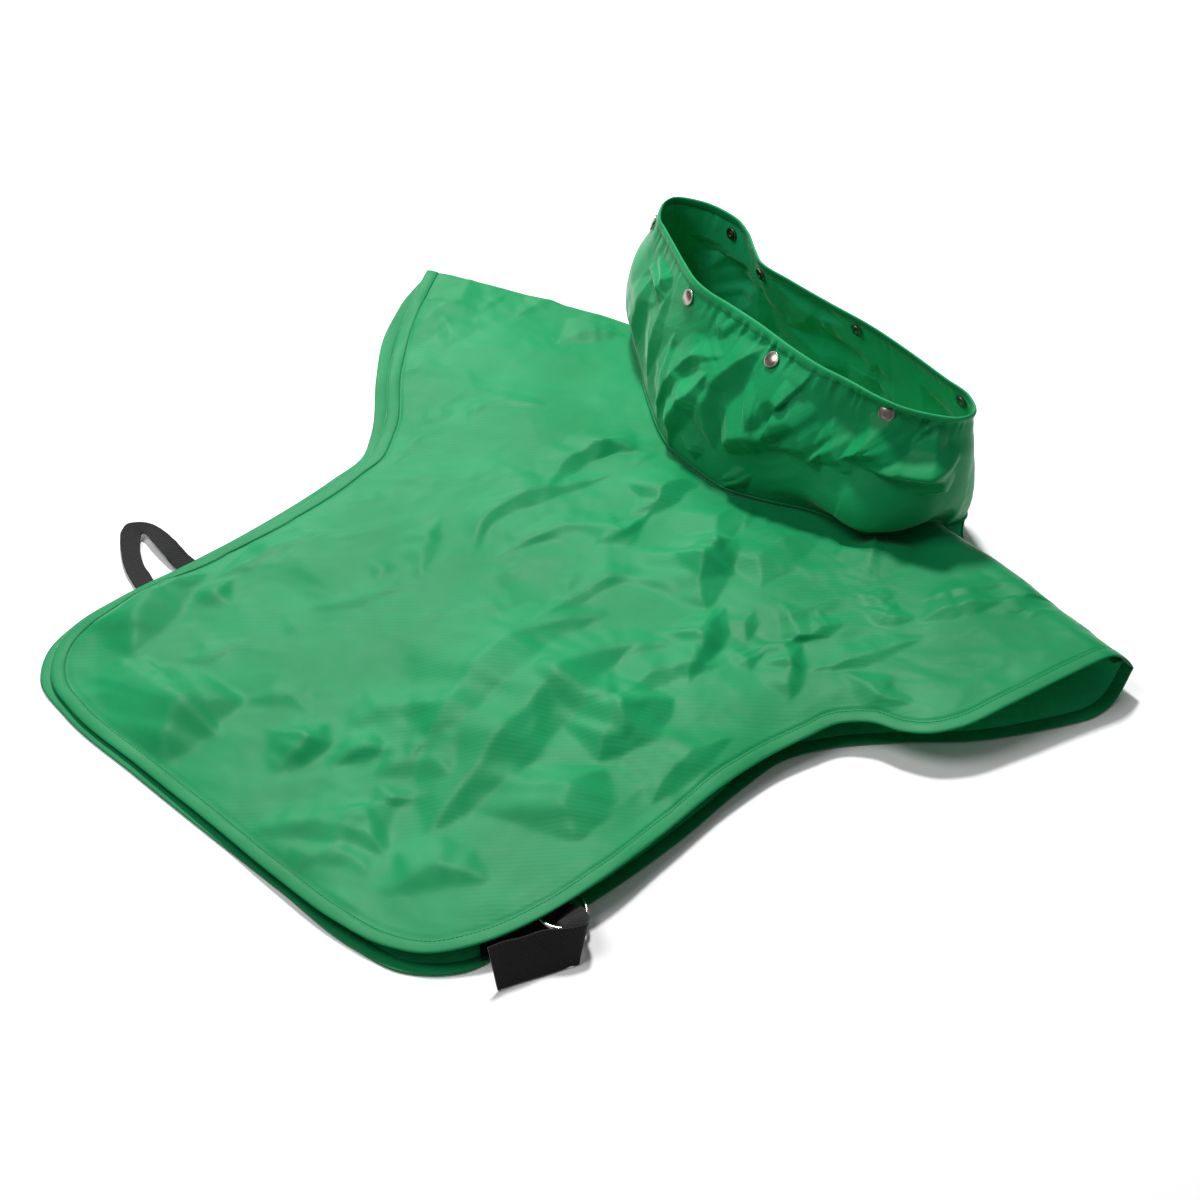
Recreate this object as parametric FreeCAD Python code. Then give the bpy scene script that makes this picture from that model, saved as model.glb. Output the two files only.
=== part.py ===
import FreeCAD, Part
import math
import os

# A short protective shoulder cape of coated nylon with a stand-up snap collar, lying face up on a floor.
# It is a poncho of two panels, sewn to each other along the shoulders, with a strap under each arm.
# Everything is laid out with X along the shoulders, -Y towards the hem, +Z up, Z = 0 on the floor and
# Y = 0 at the sleeve tips. The last step moves it so that the origin is the middle of its footprint.

V = FreeCAD.Vector

LAYOUT_SHIFT = V(0.0, 254.5, 0.0)   # from the sleeve tips to the middle of the footprint

# Panels, mm. A crumpled layer of cloth takes up more than its own 0.3 mm.
CLOTH = 1.6
TIP_X = 420.0                   # half the width over the sleeve tips
NECK_X = 212.0                  # half the distance between the neck points
NECK_Y = 85.0                   # neck points, above the sleeve tips
BACK_NECK_Y = 99.0              # middle of the back neckline
SIDE_X = 258.0                  # half the body width
HEM_Y = -618.0
CORNER_R = 85.0
SLEEVE_MID = (361.0, -112.0)    # the bowed sleeve edge passes here
UNDERARM_TOP = (286.0, -194.0)
UNDERARM_MID = (265.0, -214.0)
UNDERARM_LOW = -250.0
FRONT_INSET = 3.0               # the front panel is this much smaller all round
BINDING_W = 12.0                # edge binding
BINDING_T = 2.2
BINDING_DEPTH = 14.5            # it starts this far below the shoulder seam, measured along Y

# Section across the front panel, as heights of its top face over the floor: the left sleeve lies flat,
# the body is slightly domed and the right sleeve stands open.
FRONT_SECTION = [(-424.0, 3.6), (-360.0, 11.0), (-258.0, 18.0), (-130.0, 24.0), (0.0, 27.0), (130.0, 27.0),
                 (258.0, 26.0), (330.0, 31.0), (375.0, 36.0), (404.0, 35.0), (424.0, 24.0)]

# Collar: the neck seam and the rim, as matching points that run from the left neck point round the front.
NECK_SEAM = [(-207.0, 74.0), (-190.0, 50.0), (-150.0, 10.0), (-100.0, -26.0), (-50.0, -49.0), (0.0, -57.0),
             (50.0, -49.0), (100.0, -26.0), (150.0, 10.0), (190.0, 50.0), (207.0, 74.0), (190.0, 87.0),
             (120.0, 92.0), (0.0, 96.0), (-120.0, 92.0), (-190.0, 87.0)]
RIM = [(-178.0, 80.0), (-163.0, 57.0), (-128.0, 38.0), (-95.0, 22.0), (-60.0, 12.0), (-20.0, 9.0),
       (30.0, 7.0), (80.0, 7.0), (130.0, 11.0), (178.0, 27.0), (202.0, 46.0), (188.0, 64.0),
       (115.0, 75.0), (10.0, 77.0), (-75.0, 90.0), (-148.0, 107.0)]
SEAM_BACK_Z = 2.6               # height of the neck seam at the back neckline
SEAM_SLOPE = 0.144              # and its rise for each mm towards the front
RIM_Z = 158.0
RIM_TILT = -0.05                # the rim is lower on the right
NECK_GAP = 3.0                  # room between the collar and the edge of the front neckline
CASING_H = 9.0                  # folded casing along the rim, with the elastic inside
CASING_T = 3.2
ELASTIC_H = 6.0
ELASTIC_T = 0.8
NECK_TAPE_H = 9.0
NECK_TAPE_T = 1.2

# Snap fasteners, line 24.
SNAP_D = 15.0
SNAP_STAND = 0.5                # the cap's edge stands this far off the curved cloth
SNAP_EDGE = 1.4
SNAP_DOME = 1.1                 # the dome's rise over the edge
SNAP_DOME_INSET = 1.2
SNAP_POST_D = 4.0
SNAP_POST_IN = 3.0              # the post goes this far past the cloth
SOCKET_D = 12.0
SOCKET_T = 2.2
SOCKET_GAP = 1.1                # room for the gathered cloth behind the socket
SOCKET_ROUND = 0.8
SNAP_BELOW_RIM = 17.0
SNAP_PLACES = [(-174.0, 72.0), (-79.0, 16.0), (28.0, 6.0), (140.0, 13.0),
               (172.0, 71.0), (48.0, 78.0), (-60.0, 87.0), (-122.0, 104.0)]

SHOULDER_TAPE_W = 10.0
CLEAR = 0.6                     # between soft pieces of two moving bodies

# Right side closure: a 38 mm strap through a D-ring on a sewn tab.
WEBBING_T = 1.6
STRAP_W = 36.0
RING_CENTRE = V(265.0, -492.0, 16.0)
RING_R = 18.0
RING_WIRE_R = 1.6
RING_BAR_X = 254.5
RING_PLAY = 0.35                # room between the wire and the tab's webbing
TAB_W = 24.0
TAB_L = 34.0
TAB_TILT = 6.0                  # degrees
TAB_OPEN = 9.0                  # the tab's two layers part this far behind the bar
FOLD_ANGLE = -50.0              # where on the ring the strap turns back, degrees from +X
TAIL_START = V(3.6, -4.6, -4.4)     # from the fold to the middle of the tail's first section
TAIL_MIDDLE = V(283.0, -533.0, 14.8)
TAIL_END = V(270.0, -568.0, 17.0)
BASE_START = V(-4.0, 5.0, -5.6)     # from the fold to the middle of the base's first section
BASE_END = (238.0, -552.0)
PATCH_T = 1.0                   # hook and loop tape
PATCH_W = 32.0
PATCH_LIFT = (WEBBING_T + PATCH_T) / 2 + 0.15
TACK_W = 18.0                   # bar tacks
TACK_L = 2.0
TACK_T = 0.6
TACK_GAP = 0.05
TACK_LIFT = (WEBBING_T + TACK_T) / 2 + TACK_GAP

# Left side strap: a flat loop of 20 mm webbing that shows outside the edge.
LEFT_W = 20.0
LEFT_TOP_Y = -428.0
LEFT_TOP_Z = 11.0
LEFT_LOW_Z = 3.4
LEFT_END_X = -228.0
LEFT_FOLD_X = -322.0
LEFT_MIDDLE = (-288.0, -458.0)
LEFT_LOW_END = (-240.0, -470.0)


def flat(points, z=0.0):
    return [V(x, y, z) for x, y in points]


def mirrored(point):
    return V(-point.x, point.y, point.z)


def panel_outline():
    """Closed edge line of a whole panel, both shoulders, sleeves, sides and hem."""
    tip = V(TIP_X, 0, 0)
    neck = V(NECK_X, NECK_Y, 0)
    sleeve_end = V(*UNDERARM_TOP, 0)
    side_top = V(SIDE_X, UNDERARM_LOW, 0)
    side_end = V(SIDE_X, HEM_Y + CORNER_R, 0)
    hem_end = V(SIDE_X - CORNER_R, HEM_Y, 0)
    bulge = CORNER_R * (1.0 - math.cos(math.radians(45)))
    corner_mid = V(SIDE_X - bulge, HEM_Y + bulge, 0)
    half = [(neck, None, tip),
            (tip, V(*SLEEVE_MID, 0), sleeve_end),
            (sleeve_end, V(*UNDERARM_MID, 0), side_top),
            (side_top, None, side_end),
            (side_end, corner_mid, hem_end)]
    edges = [Part.Arc(mirrored(neck), V(0, BACK_NECK_Y, 0), neck).toShape()]
    for start, middle, end in half:
        edges.append(edge_between(start, middle, end))
    edges.append(edge_between(hem_end, None, mirrored(hem_end)))
    for start, middle, end in reversed(half):
        edges.append(edge_between(mirrored(end), mirrored(middle) if middle else None, mirrored(start)))
    return Part.Wire(edges)


def largest(shape):
    return max(shape.Solids, key=lambda solid: solid.Volume)


def edge_between(start, middle, end):
    if middle is None:
        return Part.LineSegment(start, end).toShape()
    return Part.Arc(start, middle, end).toShape()


def prism(wire, low, high):
    solid = Part.Face(wire).extrude(V(0, 0, high - low))
    solid.translate(V(0, 0, low))
    return solid


def shrunk(wire, amount):
    return wire.makeOffset2D(-amount)


def below_shoulders(depth):
    """A tall block of everything that lies below the shoulder seams by at least depth, measured along Y."""
    reach = 500.0
    slope = NECK_Y / (TIP_X - NECK_X)
    top = NECK_Y - depth
    side_y = top - slope * (reach - NECK_X)
    far = -700.0
    corners = [(-reach, side_y), (-NECK_X, top), (NECK_X, top), (reach, side_y), (reach, far), (-reach, far)]
    return prism(Part.makePolygon(flat(corners + corners[:1])), -5.0, 80.0)


def section_slab(upper, lower):
    """The front panel's section, from upper above its top face to lower below it, run along Y."""
    outer = [V(x, 0, z + upper) for x, z in FRONT_SECTION]
    inner = [V(x, 0, z - lower) for x, z in FRONT_SECTION]
    top = spline(outer)
    bottom = spline(inner)
    sides = [Part.LineSegment(outer[0], inner[0]).toShape(), Part.LineSegment(outer[-1], inner[-1]).toShape()]
    face = Part.Face(Part.Wire(Part.__sortEdges__([top, bottom] + sides)))
    slab = face.extrude(V(0, 800.0, 0))
    slab.translate(V(0, -660.0, 0))
    return slab


def spline(points):
    curve = Part.BSplineCurve()
    curve.interpolate(points)
    return curve.toShape()


def loop(points):
    curve = Part.BSplineCurve()
    curve.interpolate(Points=points, PeriodicFlag=True)
    return Part.Wire([curve.toShape()])


def inward(points, distance):
    """The loop's points moved level and square to it, towards its inside."""
    moved = []
    for i, point in enumerate(points):
        along = points[(i + 1) % len(points)] - points[i - 1]
        side = V(-along.y, along.x, 0)
        side.normalize()
        moved.append(point + side * distance)
    return moved


def collar_level(share):
    """Points round the collar's outer face, from the neck seam at share 0 to the rim at share 1."""
    points = []
    for (sx, sy), (rx, ry) in zip(NECK_SEAM, RIM):
        seam = V(sx, sy, SEAM_BACK_Z + SEAM_SLOPE * (BACK_NECK_Y - sy))
        rim = V(rx, ry, RIM_Z + RIM_TILT * rx)
        points.append(seam + (rim - seam) * share)
    return points


def collar_wall(share_low, share_high, inset, thickness):
    """A closed band of the collar's wall between two levels, as one solid ring."""
    edges = []
    for share in (share_low, share_high):
        level = collar_level(share)
        for distance in (inset, inset + thickness):
            edges.append(loop(inward(level, distance)).Edges[0])
    low_outer, low_inner, high_outer, high_inner = edges
    pairs = [(low_outer, high_outer),
             (low_inner, high_inner),
             (low_outer, low_inner),
             (high_outer, high_inner)]
    shell = Part.makeShell([Part.makeRuledSurface(one, other) for one, other in pairs])
    shell.sewShape()
    ring = Part.Solid(shell)
    if ring.Volume < 0:
        ring.reverse()
    return ring


def snap_frames(wall):
    """Where each snap sits: a point on the wall's outer face and the direction that looks out of it."""
    outer = max(wall.Faces, key=lambda face: face.Area)
    frames = []
    for x, y in SNAP_PLACES:
        near = V(x, y, RIM_Z + RIM_TILT * x - SNAP_BELOW_RIM)
        place = outer.distToShape(Part.Vertex(near))[1][0][0]
        u, v = outer.Surface.parameter(place)
        normal = outer.normalAt(u, v)
        frames.append((place, normal))
    return frames


def snap_cap(place, normal):
    """Domed cap with a rolled edge, and its post through the wall."""
    radius = SNAP_D / 2
    lap = 0.3
    disc = Part.makeCylinder(radius, SNAP_EDGE, V(0, 0, SNAP_STAND))
    disc = disc.makeFillet(SNAP_EDGE * 0.4, level_edges(disc))
    chord = radius - SNAP_DOME_INSET
    ball_r = (chord ** 2 + SNAP_DOME ** 2) / (2 * SNAP_DOME)
    top = SNAP_STAND + SNAP_EDGE
    ball = Part.makeSphere(ball_r, V(0, 0, top + SNAP_DOME - ball_r))
    dome = ball.common(Part.makeCylinder(chord, 2 * SNAP_DOME, V(0, 0, top - lap)))
    foot = -CLOTH - SNAP_POST_IN
    post = Part.makeCylinder(SNAP_POST_D / 2, SNAP_STAND + lap - foot, V(0, 0, foot))
    return stood_on(disc.multiFuse([dome, post]).removeSplitter(), place, normal)


def snap_socket(place, normal):
    """Ring with a rolled edge, riveted on the post inside the wall."""
    inner_face = -CLOTH - SOCKET_GAP - SOCKET_T
    ring = Part.makeCylinder(SOCKET_D / 2, SOCKET_T, V(0, 0, inner_face))
    lower_edge = min(level_edges(ring), key=lambda edge: edge.BoundBox.ZMin)
    ring = ring.makeFillet(SOCKET_ROUND, [lower_edge])
    ring = ring.cut(Part.makeCylinder(SNAP_POST_D / 2, 3 * SOCKET_T, V(0, 0, inner_face - SOCKET_T)))
    return stood_on(ring, place, normal)


def level_edges(shape):
    return [edge for edge in shape.Edges if edge.BoundBox.ZLength < 0.01]


def stood_on(shape, place, normal):
    turned = shape.copy()
    turned.Placement = FreeCAD.Placement(place, FreeCAD.Rotation(V(0, 0, 1), normal))
    return turned


def strip(centre, across, facing, width, thickness):
    """Rectangle across a strap: its width runs along across and its thickness along facing."""
    along = V(across).normalize()
    side = along * (width / 2)
    up = facing - along * facing.dot(along)
    up = up.normalize() * (thickness / 2)
    corners = [centre - side - up, centre + side - up, centre + side + up, centre - side + up]
    return Part.makePolygon(corners + corners[:1])


def strap_through(stations, width, thickness):
    wires = [strip(centre, across, facing, width, thickness) for centre, across, facing in stations]
    return Part.makeLoft(wires, True, True)


def d_ring():
    """Wire ring with one straight side, the bar, which the tab holds."""
    half = math.degrees(math.acos((RING_BAR_X - RING_CENTRE.x) / RING_R))
    ring = Part.makeTorus(RING_R, RING_WIRE_R, V(0, 0, 0), V(0, 0, 1), 0, 360, 2 * half)
    ring.rotate(V(0, 0, 0), V(0, 0, 1), -half)
    ring.translate(RING_CENTRE)
    reach = RING_R * math.sin(math.radians(half))
    start = V(RING_BAR_X, RING_CENTRE.y - reach, RING_CENTRE.z)
    bar = Part.makeCylinder(RING_WIRE_R, 2 * reach, start, V(0, 1, 0))
    ends = [Part.makeSphere(RING_WIRE_R, start), Part.makeSphere(RING_WIRE_R, start + V(0, 2 * reach, 0))]
    return ring.multiFuse([bar] + ends).removeSplitter()


def ring_tab():
    """Webbing loop round the ring's bar, with both layers running in under the front panel."""
    inner = RING_WIRE_R + RING_PLAY
    outer = inner + WEBBING_T
    overlap = 0.01
    block = Part.makeCylinder(outer, TAB_W, V(0, -TAB_W / 2, 0), V(0, 1, 0))
    block = block.fuse(Part.makeBox(TAB_L, TAB_W, 2 * outer, V(-TAB_L, -TAB_W / 2, -outer)))
    hollow = Part.makeCylinder(inner, TAB_W, V(0, -TAB_W / 2, 0), V(0, 1, 0))
    hollow = hollow.fuse(Part.makeBox(TAB_OPEN, TAB_W, 2 * inner, V(-TAB_OPEN, -TAB_W / 2, -inner)))
    thin = Part.makeBox(TAB_L, TAB_W, outer, V(-TAB_L - TAB_OPEN, -TAB_W / 2, -outer - overlap))
    tab = block.cut(hollow).cut(thin)
    tab.rotate(V(0, 0, 0), V(0, 1, 0), TAB_TILT)
    tab.translate(V(RING_BAR_X, RING_CENTRE.y, RING_CENTRE.z))
    return tab


def fold_point():
    angle = math.radians(FOLD_ANGLE)
    return RING_CENTRE + V(RING_R * math.cos(angle), RING_R * math.sin(angle), 0)


FOLD_ALONG = V(-math.sin(math.radians(FOLD_ANGLE)), math.cos(math.radians(FOLD_ANGLE)), 0)


def tail_stations():
    """The free end of the right strap: it turns over the ring, drops and stands on its lower edge."""
    return [(fold_point() + TAIL_START, FOLD_ALONG, V(0.4, -0.5, 0.8)),
            (TAIL_MIDDLE, V(0.62, 0.10, -0.62), V(0.7, -0.3, 0.8)),
            (TAIL_END, V(0.42, -0.14, -0.84), V(0.9, -0.35, 0.5))]


def base_stations():
    """The sewn end of the right strap: from inside the ring down to the back panel."""
    end = V(*BASE_END, BINDING_T + CLEAR + WEBBING_T)
    return [(fold_point() + BASE_START, FOLD_ALONG, V(0, 0, 1)), (end, FOLD_ALONG, V(0, 0, 1))]


def part_way(stations, share, lift):
    """A station between the last two of a strap, lifted off its face."""
    (start, across_a, facing_a), (end, across_b, facing_b) = stations[-2:]
    across = across_a + (across_b - across_a) * share
    facing = facing_a + (facing_b - facing_a) * share
    along = V(across).normalize()
    square = facing - along * facing.dot(along)
    return (start + (end - start) * share + square.normalize() * lift, across, facing)


def patch_on(stations, share_start, share_end, lift):
    """Hook or loop tape sewn flat on a strap."""
    ends = [part_way(stations, share, lift) for share in (share_start, share_end)]
    return strap_through(ends, PATCH_W, PATCH_T)


def bartack(centre, across, facing):
    """A dense bar of thread on the sewn end of a strap."""
    far = centre + V(TACK_L, 0, 0)
    return strap_through([(centre, across, facing), (far, across, facing)], TACK_W, TACK_T)


def left_strap():
    """Upper leg sewn to the front panel, a turned corner, and a lower leg back to the back panel."""
    edge_y = LEFT_TOP_Y - LEFT_W / 2
    over = 4.0
    top_start = V(LEFT_FOLD_X, edge_y, LEFT_TOP_Z)
    upper = Part.makeBox(LEFT_END_X - LEFT_FOLD_X, LEFT_W, WEBBING_T, top_start)
    drop = LEFT_TOP_Z - LEFT_LOW_Z + WEBBING_T
    turn = Part.makeBox(LEFT_W, LEFT_W, drop, V(LEFT_FOLD_X - over, edge_y, LEFT_LOW_Z))
    low = LEFT_LOW_Z + WEBBING_T / 2
    stations = [(V(LEFT_FOLD_X + over, LEFT_TOP_Y - over, low), V(0.62, 0.78, 0), V(0, 0, 1)),
                (V(*LEFT_MIDDLE, low), V(0.45, 0.89, 0), V(0, 0, 1)),
                (V(*LEFT_LOW_END, low), V(0.05, 1.0, 0), V(0, 0, 1))]
    lower = strap_through(stations, LEFT_W, WEBBING_T)
    return upper.multiFuse([turn, lower]).removeSplitter()


def bartacks():
    """One on each of the four sewn strap ends."""
    tilt = math.radians(TAB_TILT)
    from_end = 6.0
    reach = TAB_L - from_end
    tab_lift = RING_WIRE_R + RING_PLAY + TACK_LIFT + WEBBING_T / 2 + 0.25
    along = V(-math.cos(tilt), 0, math.sin(tilt))
    down = V(-math.sin(tilt), 0, -math.cos(tilt))
    ring_bar = V(RING_BAR_X, RING_CENTRE.y, RING_CENTRE.z)
    base_place, across, facing = part_way(base_stations(), 0.95, -TACK_LIFT - 0.3)
    level = V(0, 1, 0)
    up = V(0, 0, 1)
    left_upper = V(LEFT_END_X - 8.0, LEFT_TOP_Y, LEFT_TOP_Z - TACK_T / 2 - TACK_GAP)
    left_lower = V(*LEFT_LOW_END, LEFT_LOW_Z + WEBBING_T / 2 + TACK_LIFT) - V(from_end, 0, 0)
    return [bartack(ring_bar + along * reach + down * tab_lift, level, up),
            bartack(base_place, across, facing),
            bartack(left_upper, level, up),
            bartack(left_lower, level, up)]


def build():
    outline = panel_outline()
    front_outline = shrunk(outline, FRONT_INSET)
    parts = {}

    inner_back = prism(shrunk(outline, BINDING_W), -1.0, 5.0)
    bound = below_shoulders(BINDING_DEPTH)
    back_band = prism(outline, 0.0, BINDING_T).cut(inner_back).common(bound)
    parts["back_edge_binding"] = back_band
    parts["back_panel"] = prism(outline, 0.0, CLOTH).cut(back_band)

    neck_hole = prism(loop(inward(flat(NECK_SEAM), -NECK_GAP)), -1.0, 80.0)
    above = prism(front_outline, 0.0, 80.0).cut(neck_hole).common(below_shoulders(FRONT_INSET))
    front_band = prism(front_outline, 0.0, 80.0).cut(prism(shrunk(front_outline, BINDING_W), -1.0, 81.0))
    front_band = front_band.common(bound)
    parts["front_edge_binding"] = section_slab(0.3, CLOTH + 0.3).common(front_band)
    parts["front_panel"] = largest(section_slab(0.0, CLOTH).common(above).cut(front_band))

    fill = section_slab(-CLOTH - CLEAR, 60.0).common(prism(front_outline, CLOTH + 0.3, 60.0))
    tapes = fill.cut(below_shoulders(FRONT_INSET + SHOULDER_TAPE_W)).common(below_shoulders(FRONT_INSET))
    beside_neck = NECK_X + 6.0
    for name, low in (("left_shoulder_tape", -TIP_X), ("right_shoulder_tape", beside_neck)):
        span = Part.makeBox(TIP_X - beside_neck, 200.0, 80.0, V(low, -60.0, 0))
        parts[name] = tapes.common(span)

    casing_share = 1.0 - CASING_H / RIM_Z
    collar = collar_wall(0.0, casing_share, 0.0, CLOTH)
    casing = collar_wall(casing_share, 1.0, -0.8, CASING_T)
    margin = (CASING_H - ELASTIC_H) / 2 / RIM_Z
    elastic = collar_wall(casing_share + margin, 1.0 - margin, 0.4, ELASTIC_T)
    parts["collar_elastic"] = elastic
    parts["collar_rim_casing"] = casing.cut(elastic)
    parts["neck_seam_tape"] = collar_wall(0.004, NECK_TAPE_H / RIM_Z, CLOTH + 0.9, NECK_TAPE_T)

    caps = []
    sockets = []
    for place, normal in snap_frames(collar):
        hole = stood_on(Part.makeCylinder(SNAP_POST_D / 2 + 0.05, 8.0, V(0, 0, -5.0)), place, normal)
        collar = collar.cut(hole)
        caps.append(snap_cap(place, normal))
        sockets.append(snap_socket(place, normal))
    parts["collar"] = collar
    parts["snap_caps"] = Part.makeCompound(caps)
    parts["snap_sockets"] = Part.makeCompound(sockets)

    parts["d_ring"] = d_ring()
    parts["d_ring_tab"] = ring_tab()
    tail = tail_stations()
    parts["right_strap_tail"] = strap_through(tail, STRAP_W, WEBBING_T)
    parts["right_strap_base"] = strap_through(base_stations(), STRAP_W, WEBBING_T)
    parts["hook_patch"] = patch_on(tail, 0.1, 0.9, -PATCH_LIFT)
    parts["loop_patch"] = patch_on(base_stations(), 0.45, 0.95, PATCH_LIFT)
    parts["left_strap"] = left_strap()
    parts["strap_bartacks"] = Part.makeCompound(bartacks())
    return parts


os.makedirs("parts", exist_ok=True)
for node, shape in build().items():
    moved = shape.copy()
    moved.translate(LAYOUT_SHIFT)
    moved.exportStep("parts/" + node + ".step")
    box = moved.BoundBox
    print("%-22s solids %d valid %s volume %9.0f  x %.1f %.1f  y %.1f %.1f  z %.1f %.1f" % (
        node, len(moved.Solids), moved.isValid(), moved.Volume,
        box.XMin, box.XMax, box.YMin, box.YMax, box.ZMin, box.ZMax))
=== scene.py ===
"""A green coated-nylon shoulder cape with a stand-up snap collar, lying face up on a white floor.

Shapes are laid out in millimetres with X along the shoulders, -Y towards the hem, +Z up and Y = 0 at the
sleeve tips, and moved to the row frame, in metres, when each mesh is made.
"""
import math

import bpy
import numpy as np
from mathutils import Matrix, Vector


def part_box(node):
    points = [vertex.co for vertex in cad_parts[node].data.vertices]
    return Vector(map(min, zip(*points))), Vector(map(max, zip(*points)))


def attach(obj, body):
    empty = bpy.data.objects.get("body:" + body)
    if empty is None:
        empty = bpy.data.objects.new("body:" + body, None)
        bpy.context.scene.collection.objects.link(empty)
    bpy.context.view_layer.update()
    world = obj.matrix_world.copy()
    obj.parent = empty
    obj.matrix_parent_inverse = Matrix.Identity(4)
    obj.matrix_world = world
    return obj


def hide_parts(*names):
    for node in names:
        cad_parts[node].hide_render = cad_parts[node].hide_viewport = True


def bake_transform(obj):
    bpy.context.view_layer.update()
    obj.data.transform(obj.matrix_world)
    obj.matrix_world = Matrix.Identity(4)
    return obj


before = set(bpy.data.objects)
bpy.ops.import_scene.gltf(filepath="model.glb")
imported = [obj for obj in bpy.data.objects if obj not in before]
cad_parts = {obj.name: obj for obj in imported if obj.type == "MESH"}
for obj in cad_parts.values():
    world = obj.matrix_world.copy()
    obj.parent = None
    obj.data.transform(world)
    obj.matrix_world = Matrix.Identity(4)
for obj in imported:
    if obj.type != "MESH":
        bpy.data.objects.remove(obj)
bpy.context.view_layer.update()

HEM_Y = -618.0
SHIFT = np.array([0.0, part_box("back_edge_binding")[0].y * 1000.0 - HEM_Y, 0.0])
MM = 0.001
UP = np.array([0.0, 0.0, 1.0])
CLOTH_T = 0.5                     # thickness of the coated nylon
BINDING_W = 12.0
STITCH_L = 2.5
STITCH_R = 0.33
STITCH_INSET = 10.9               # of the bindings' stitches, from the edge
FLOOR_GAP = 0.3                   # the under side of the lowest layer over the floor
SHADE = np.array([0.78, -0.62])   # creases fall away towards this side
CREASE_SLOPE = 0.40               # of a crease of strength 1, on its steep side
GRAIN = (0.80, 0.60)              # most small creases run this way

# ---------------------------------------------------------------- camera, floor and light

CAMERA_AZIMUTH = 44.6             # degrees round from the hem
CAMERA_ELEVATION = 41.2
CAMERA_DISTANCE = 2.46
CAMERA_TARGET = np.array([0.026, 0.0445, 0.0])
FLOOR_HALF = 6.0
FLOOR_Z = -0.0002


def new_object(name, data):
    obj = bpy.data.objects.new(name, data)
    bpy.context.scene.collection.objects.link(obj)
    return obj


def aim(obj, azimuth, elevation, distance):
    """Put a camera or lamp round the cape and point it at it; azimuth 0 is in front of the hem."""
    azimuth = math.radians(azimuth)
    elevation = math.radians(elevation)
    flat = math.cos(elevation)
    away = np.array([math.sin(azimuth) * flat, -math.cos(azimuth) * flat, math.sin(elevation)])
    place = CAMERA_TARGET + away * distance
    obj.location = place
    obj.rotation_mode = "QUATERNION"
    obj.rotation_quaternion = Vector(CAMERA_TARGET - place).to_track_quat("-Z", "Y")


def add_camera():
    data = bpy.data.cameras.new("camera")
    data.lens = 87.75
    data.sensor_width = 36.0
    data.clip_end = 20.0
    camera = new_object("camera", data)
    aim(camera, CAMERA_AZIMUTH, CAMERA_ELEVATION, CAMERA_DISTANCE)
    bpy.context.scene.camera = camera


def add_lamp(name, azimuth, elevation, distance, size, power):
    data = bpy.data.lights.new(name, "AREA")
    data.shape = "DISK"
    data.size = size
    data.energy = power
    aim(new_object(name, data), azimuth, elevation, distance)


def add_floor():
    mesh = bpy.data.meshes.new("floor")
    corners = [(x * FLOOR_HALF, y * FLOOR_HALF, FLOOR_Z) for x, y in ((-1, -1), (1, -1), (1, 1), (-1, 1))]
    mesh.from_pydata(corners, [], [(0, 1, 2, 3)])
    floor = new_object("floor", mesh)
    material = bpy.data.materials.new("floor_white")
    material.use_nodes = True
    shader = material.node_tree.nodes["Principled BSDF"]
    shader.inputs["Base Color"].default_value = (0.93, 0.93, 0.93, 1.0)
    shader.inputs["Roughness"].default_value = 0.9
    shader.inputs["Specular IOR Level"].default_value = 0.1
    mesh.materials.append(material)


def set_world():
    scene = bpy.context.scene
    world = bpy.data.worlds.new("studio")
    scene.world = world
    world.use_nodes = True
    background = world.node_tree.nodes["Background"]
    background.inputs["Color"].default_value = (1.0, 1.0, 1.0, 1.0)
    background.inputs["Strength"].default_value = 0.16
    scene.view_settings.view_transform = "Standard"
    scene.view_settings.look = "None"


# ---------------------------------------------------------------- curves and grids

def smoothstep(value):
    value = np.clip(value, 0.0, 1.0)
    return value * value * (3.0 - 2.0 * value)


def unit(vectors):
    return vectors / np.linalg.norm(vectors, axis=-1, keepdims=True)


def lengths_along(points):
    return np.concatenate([[0.0], np.cumsum(np.linalg.norm(np.diff(points, axis=0), axis=1))])


def chord_knots(points):
    lengths = lengths_along(points)
    return lengths / lengths[-1]


def spline(points, where, knots=None, closed=False):
    """Smooth curve through points, read at shares of its length, or of its knots where those are given."""
    points = np.asarray(points, float)
    if closed:
        points = np.vstack([points, points[:1]])
    if knots is None:
        knots = chord_knots(points)
    where = np.asarray(where, float)
    step = np.diff(knots)[:, None]
    slope = np.diff(points, axis=0) / step
    tangent = np.zeros_like(points)
    tangent[1:-1] = (slope[:-1] * step[1:] + slope[1:] * step[:-1]) / (step[1:] + step[:-1])
    if closed:
        tangent[0] = (slope[-1] * step[0] + slope[0] * step[-1]) / (step[0] + step[-1])
        tangent[-1] = tangent[0]
    else:
        tangent[0] = slope[0]
        tangent[-1] = slope[-1]
    i = np.clip(np.searchsorted(knots, where, "right") - 1, 0, len(step) - 1)
    length = step[i]
    u = (where - knots[i])[:, None] / length
    return (points[i] * (1 + 2 * u) * (1 - u) ** 2 + tangent[i] * length * u * (1 - u) ** 2
            + points[i + 1] * u ** 2 * (3 - 2 * u) + tangent[i + 1] * length * u ** 2 * (u - 1))


def read_line(points, knots, where):
    """Places on a polyline, at shares of its length."""
    return np.stack([np.interp(where, knots, points[:, k]) for k in range(points.shape[1])], -1)


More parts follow.
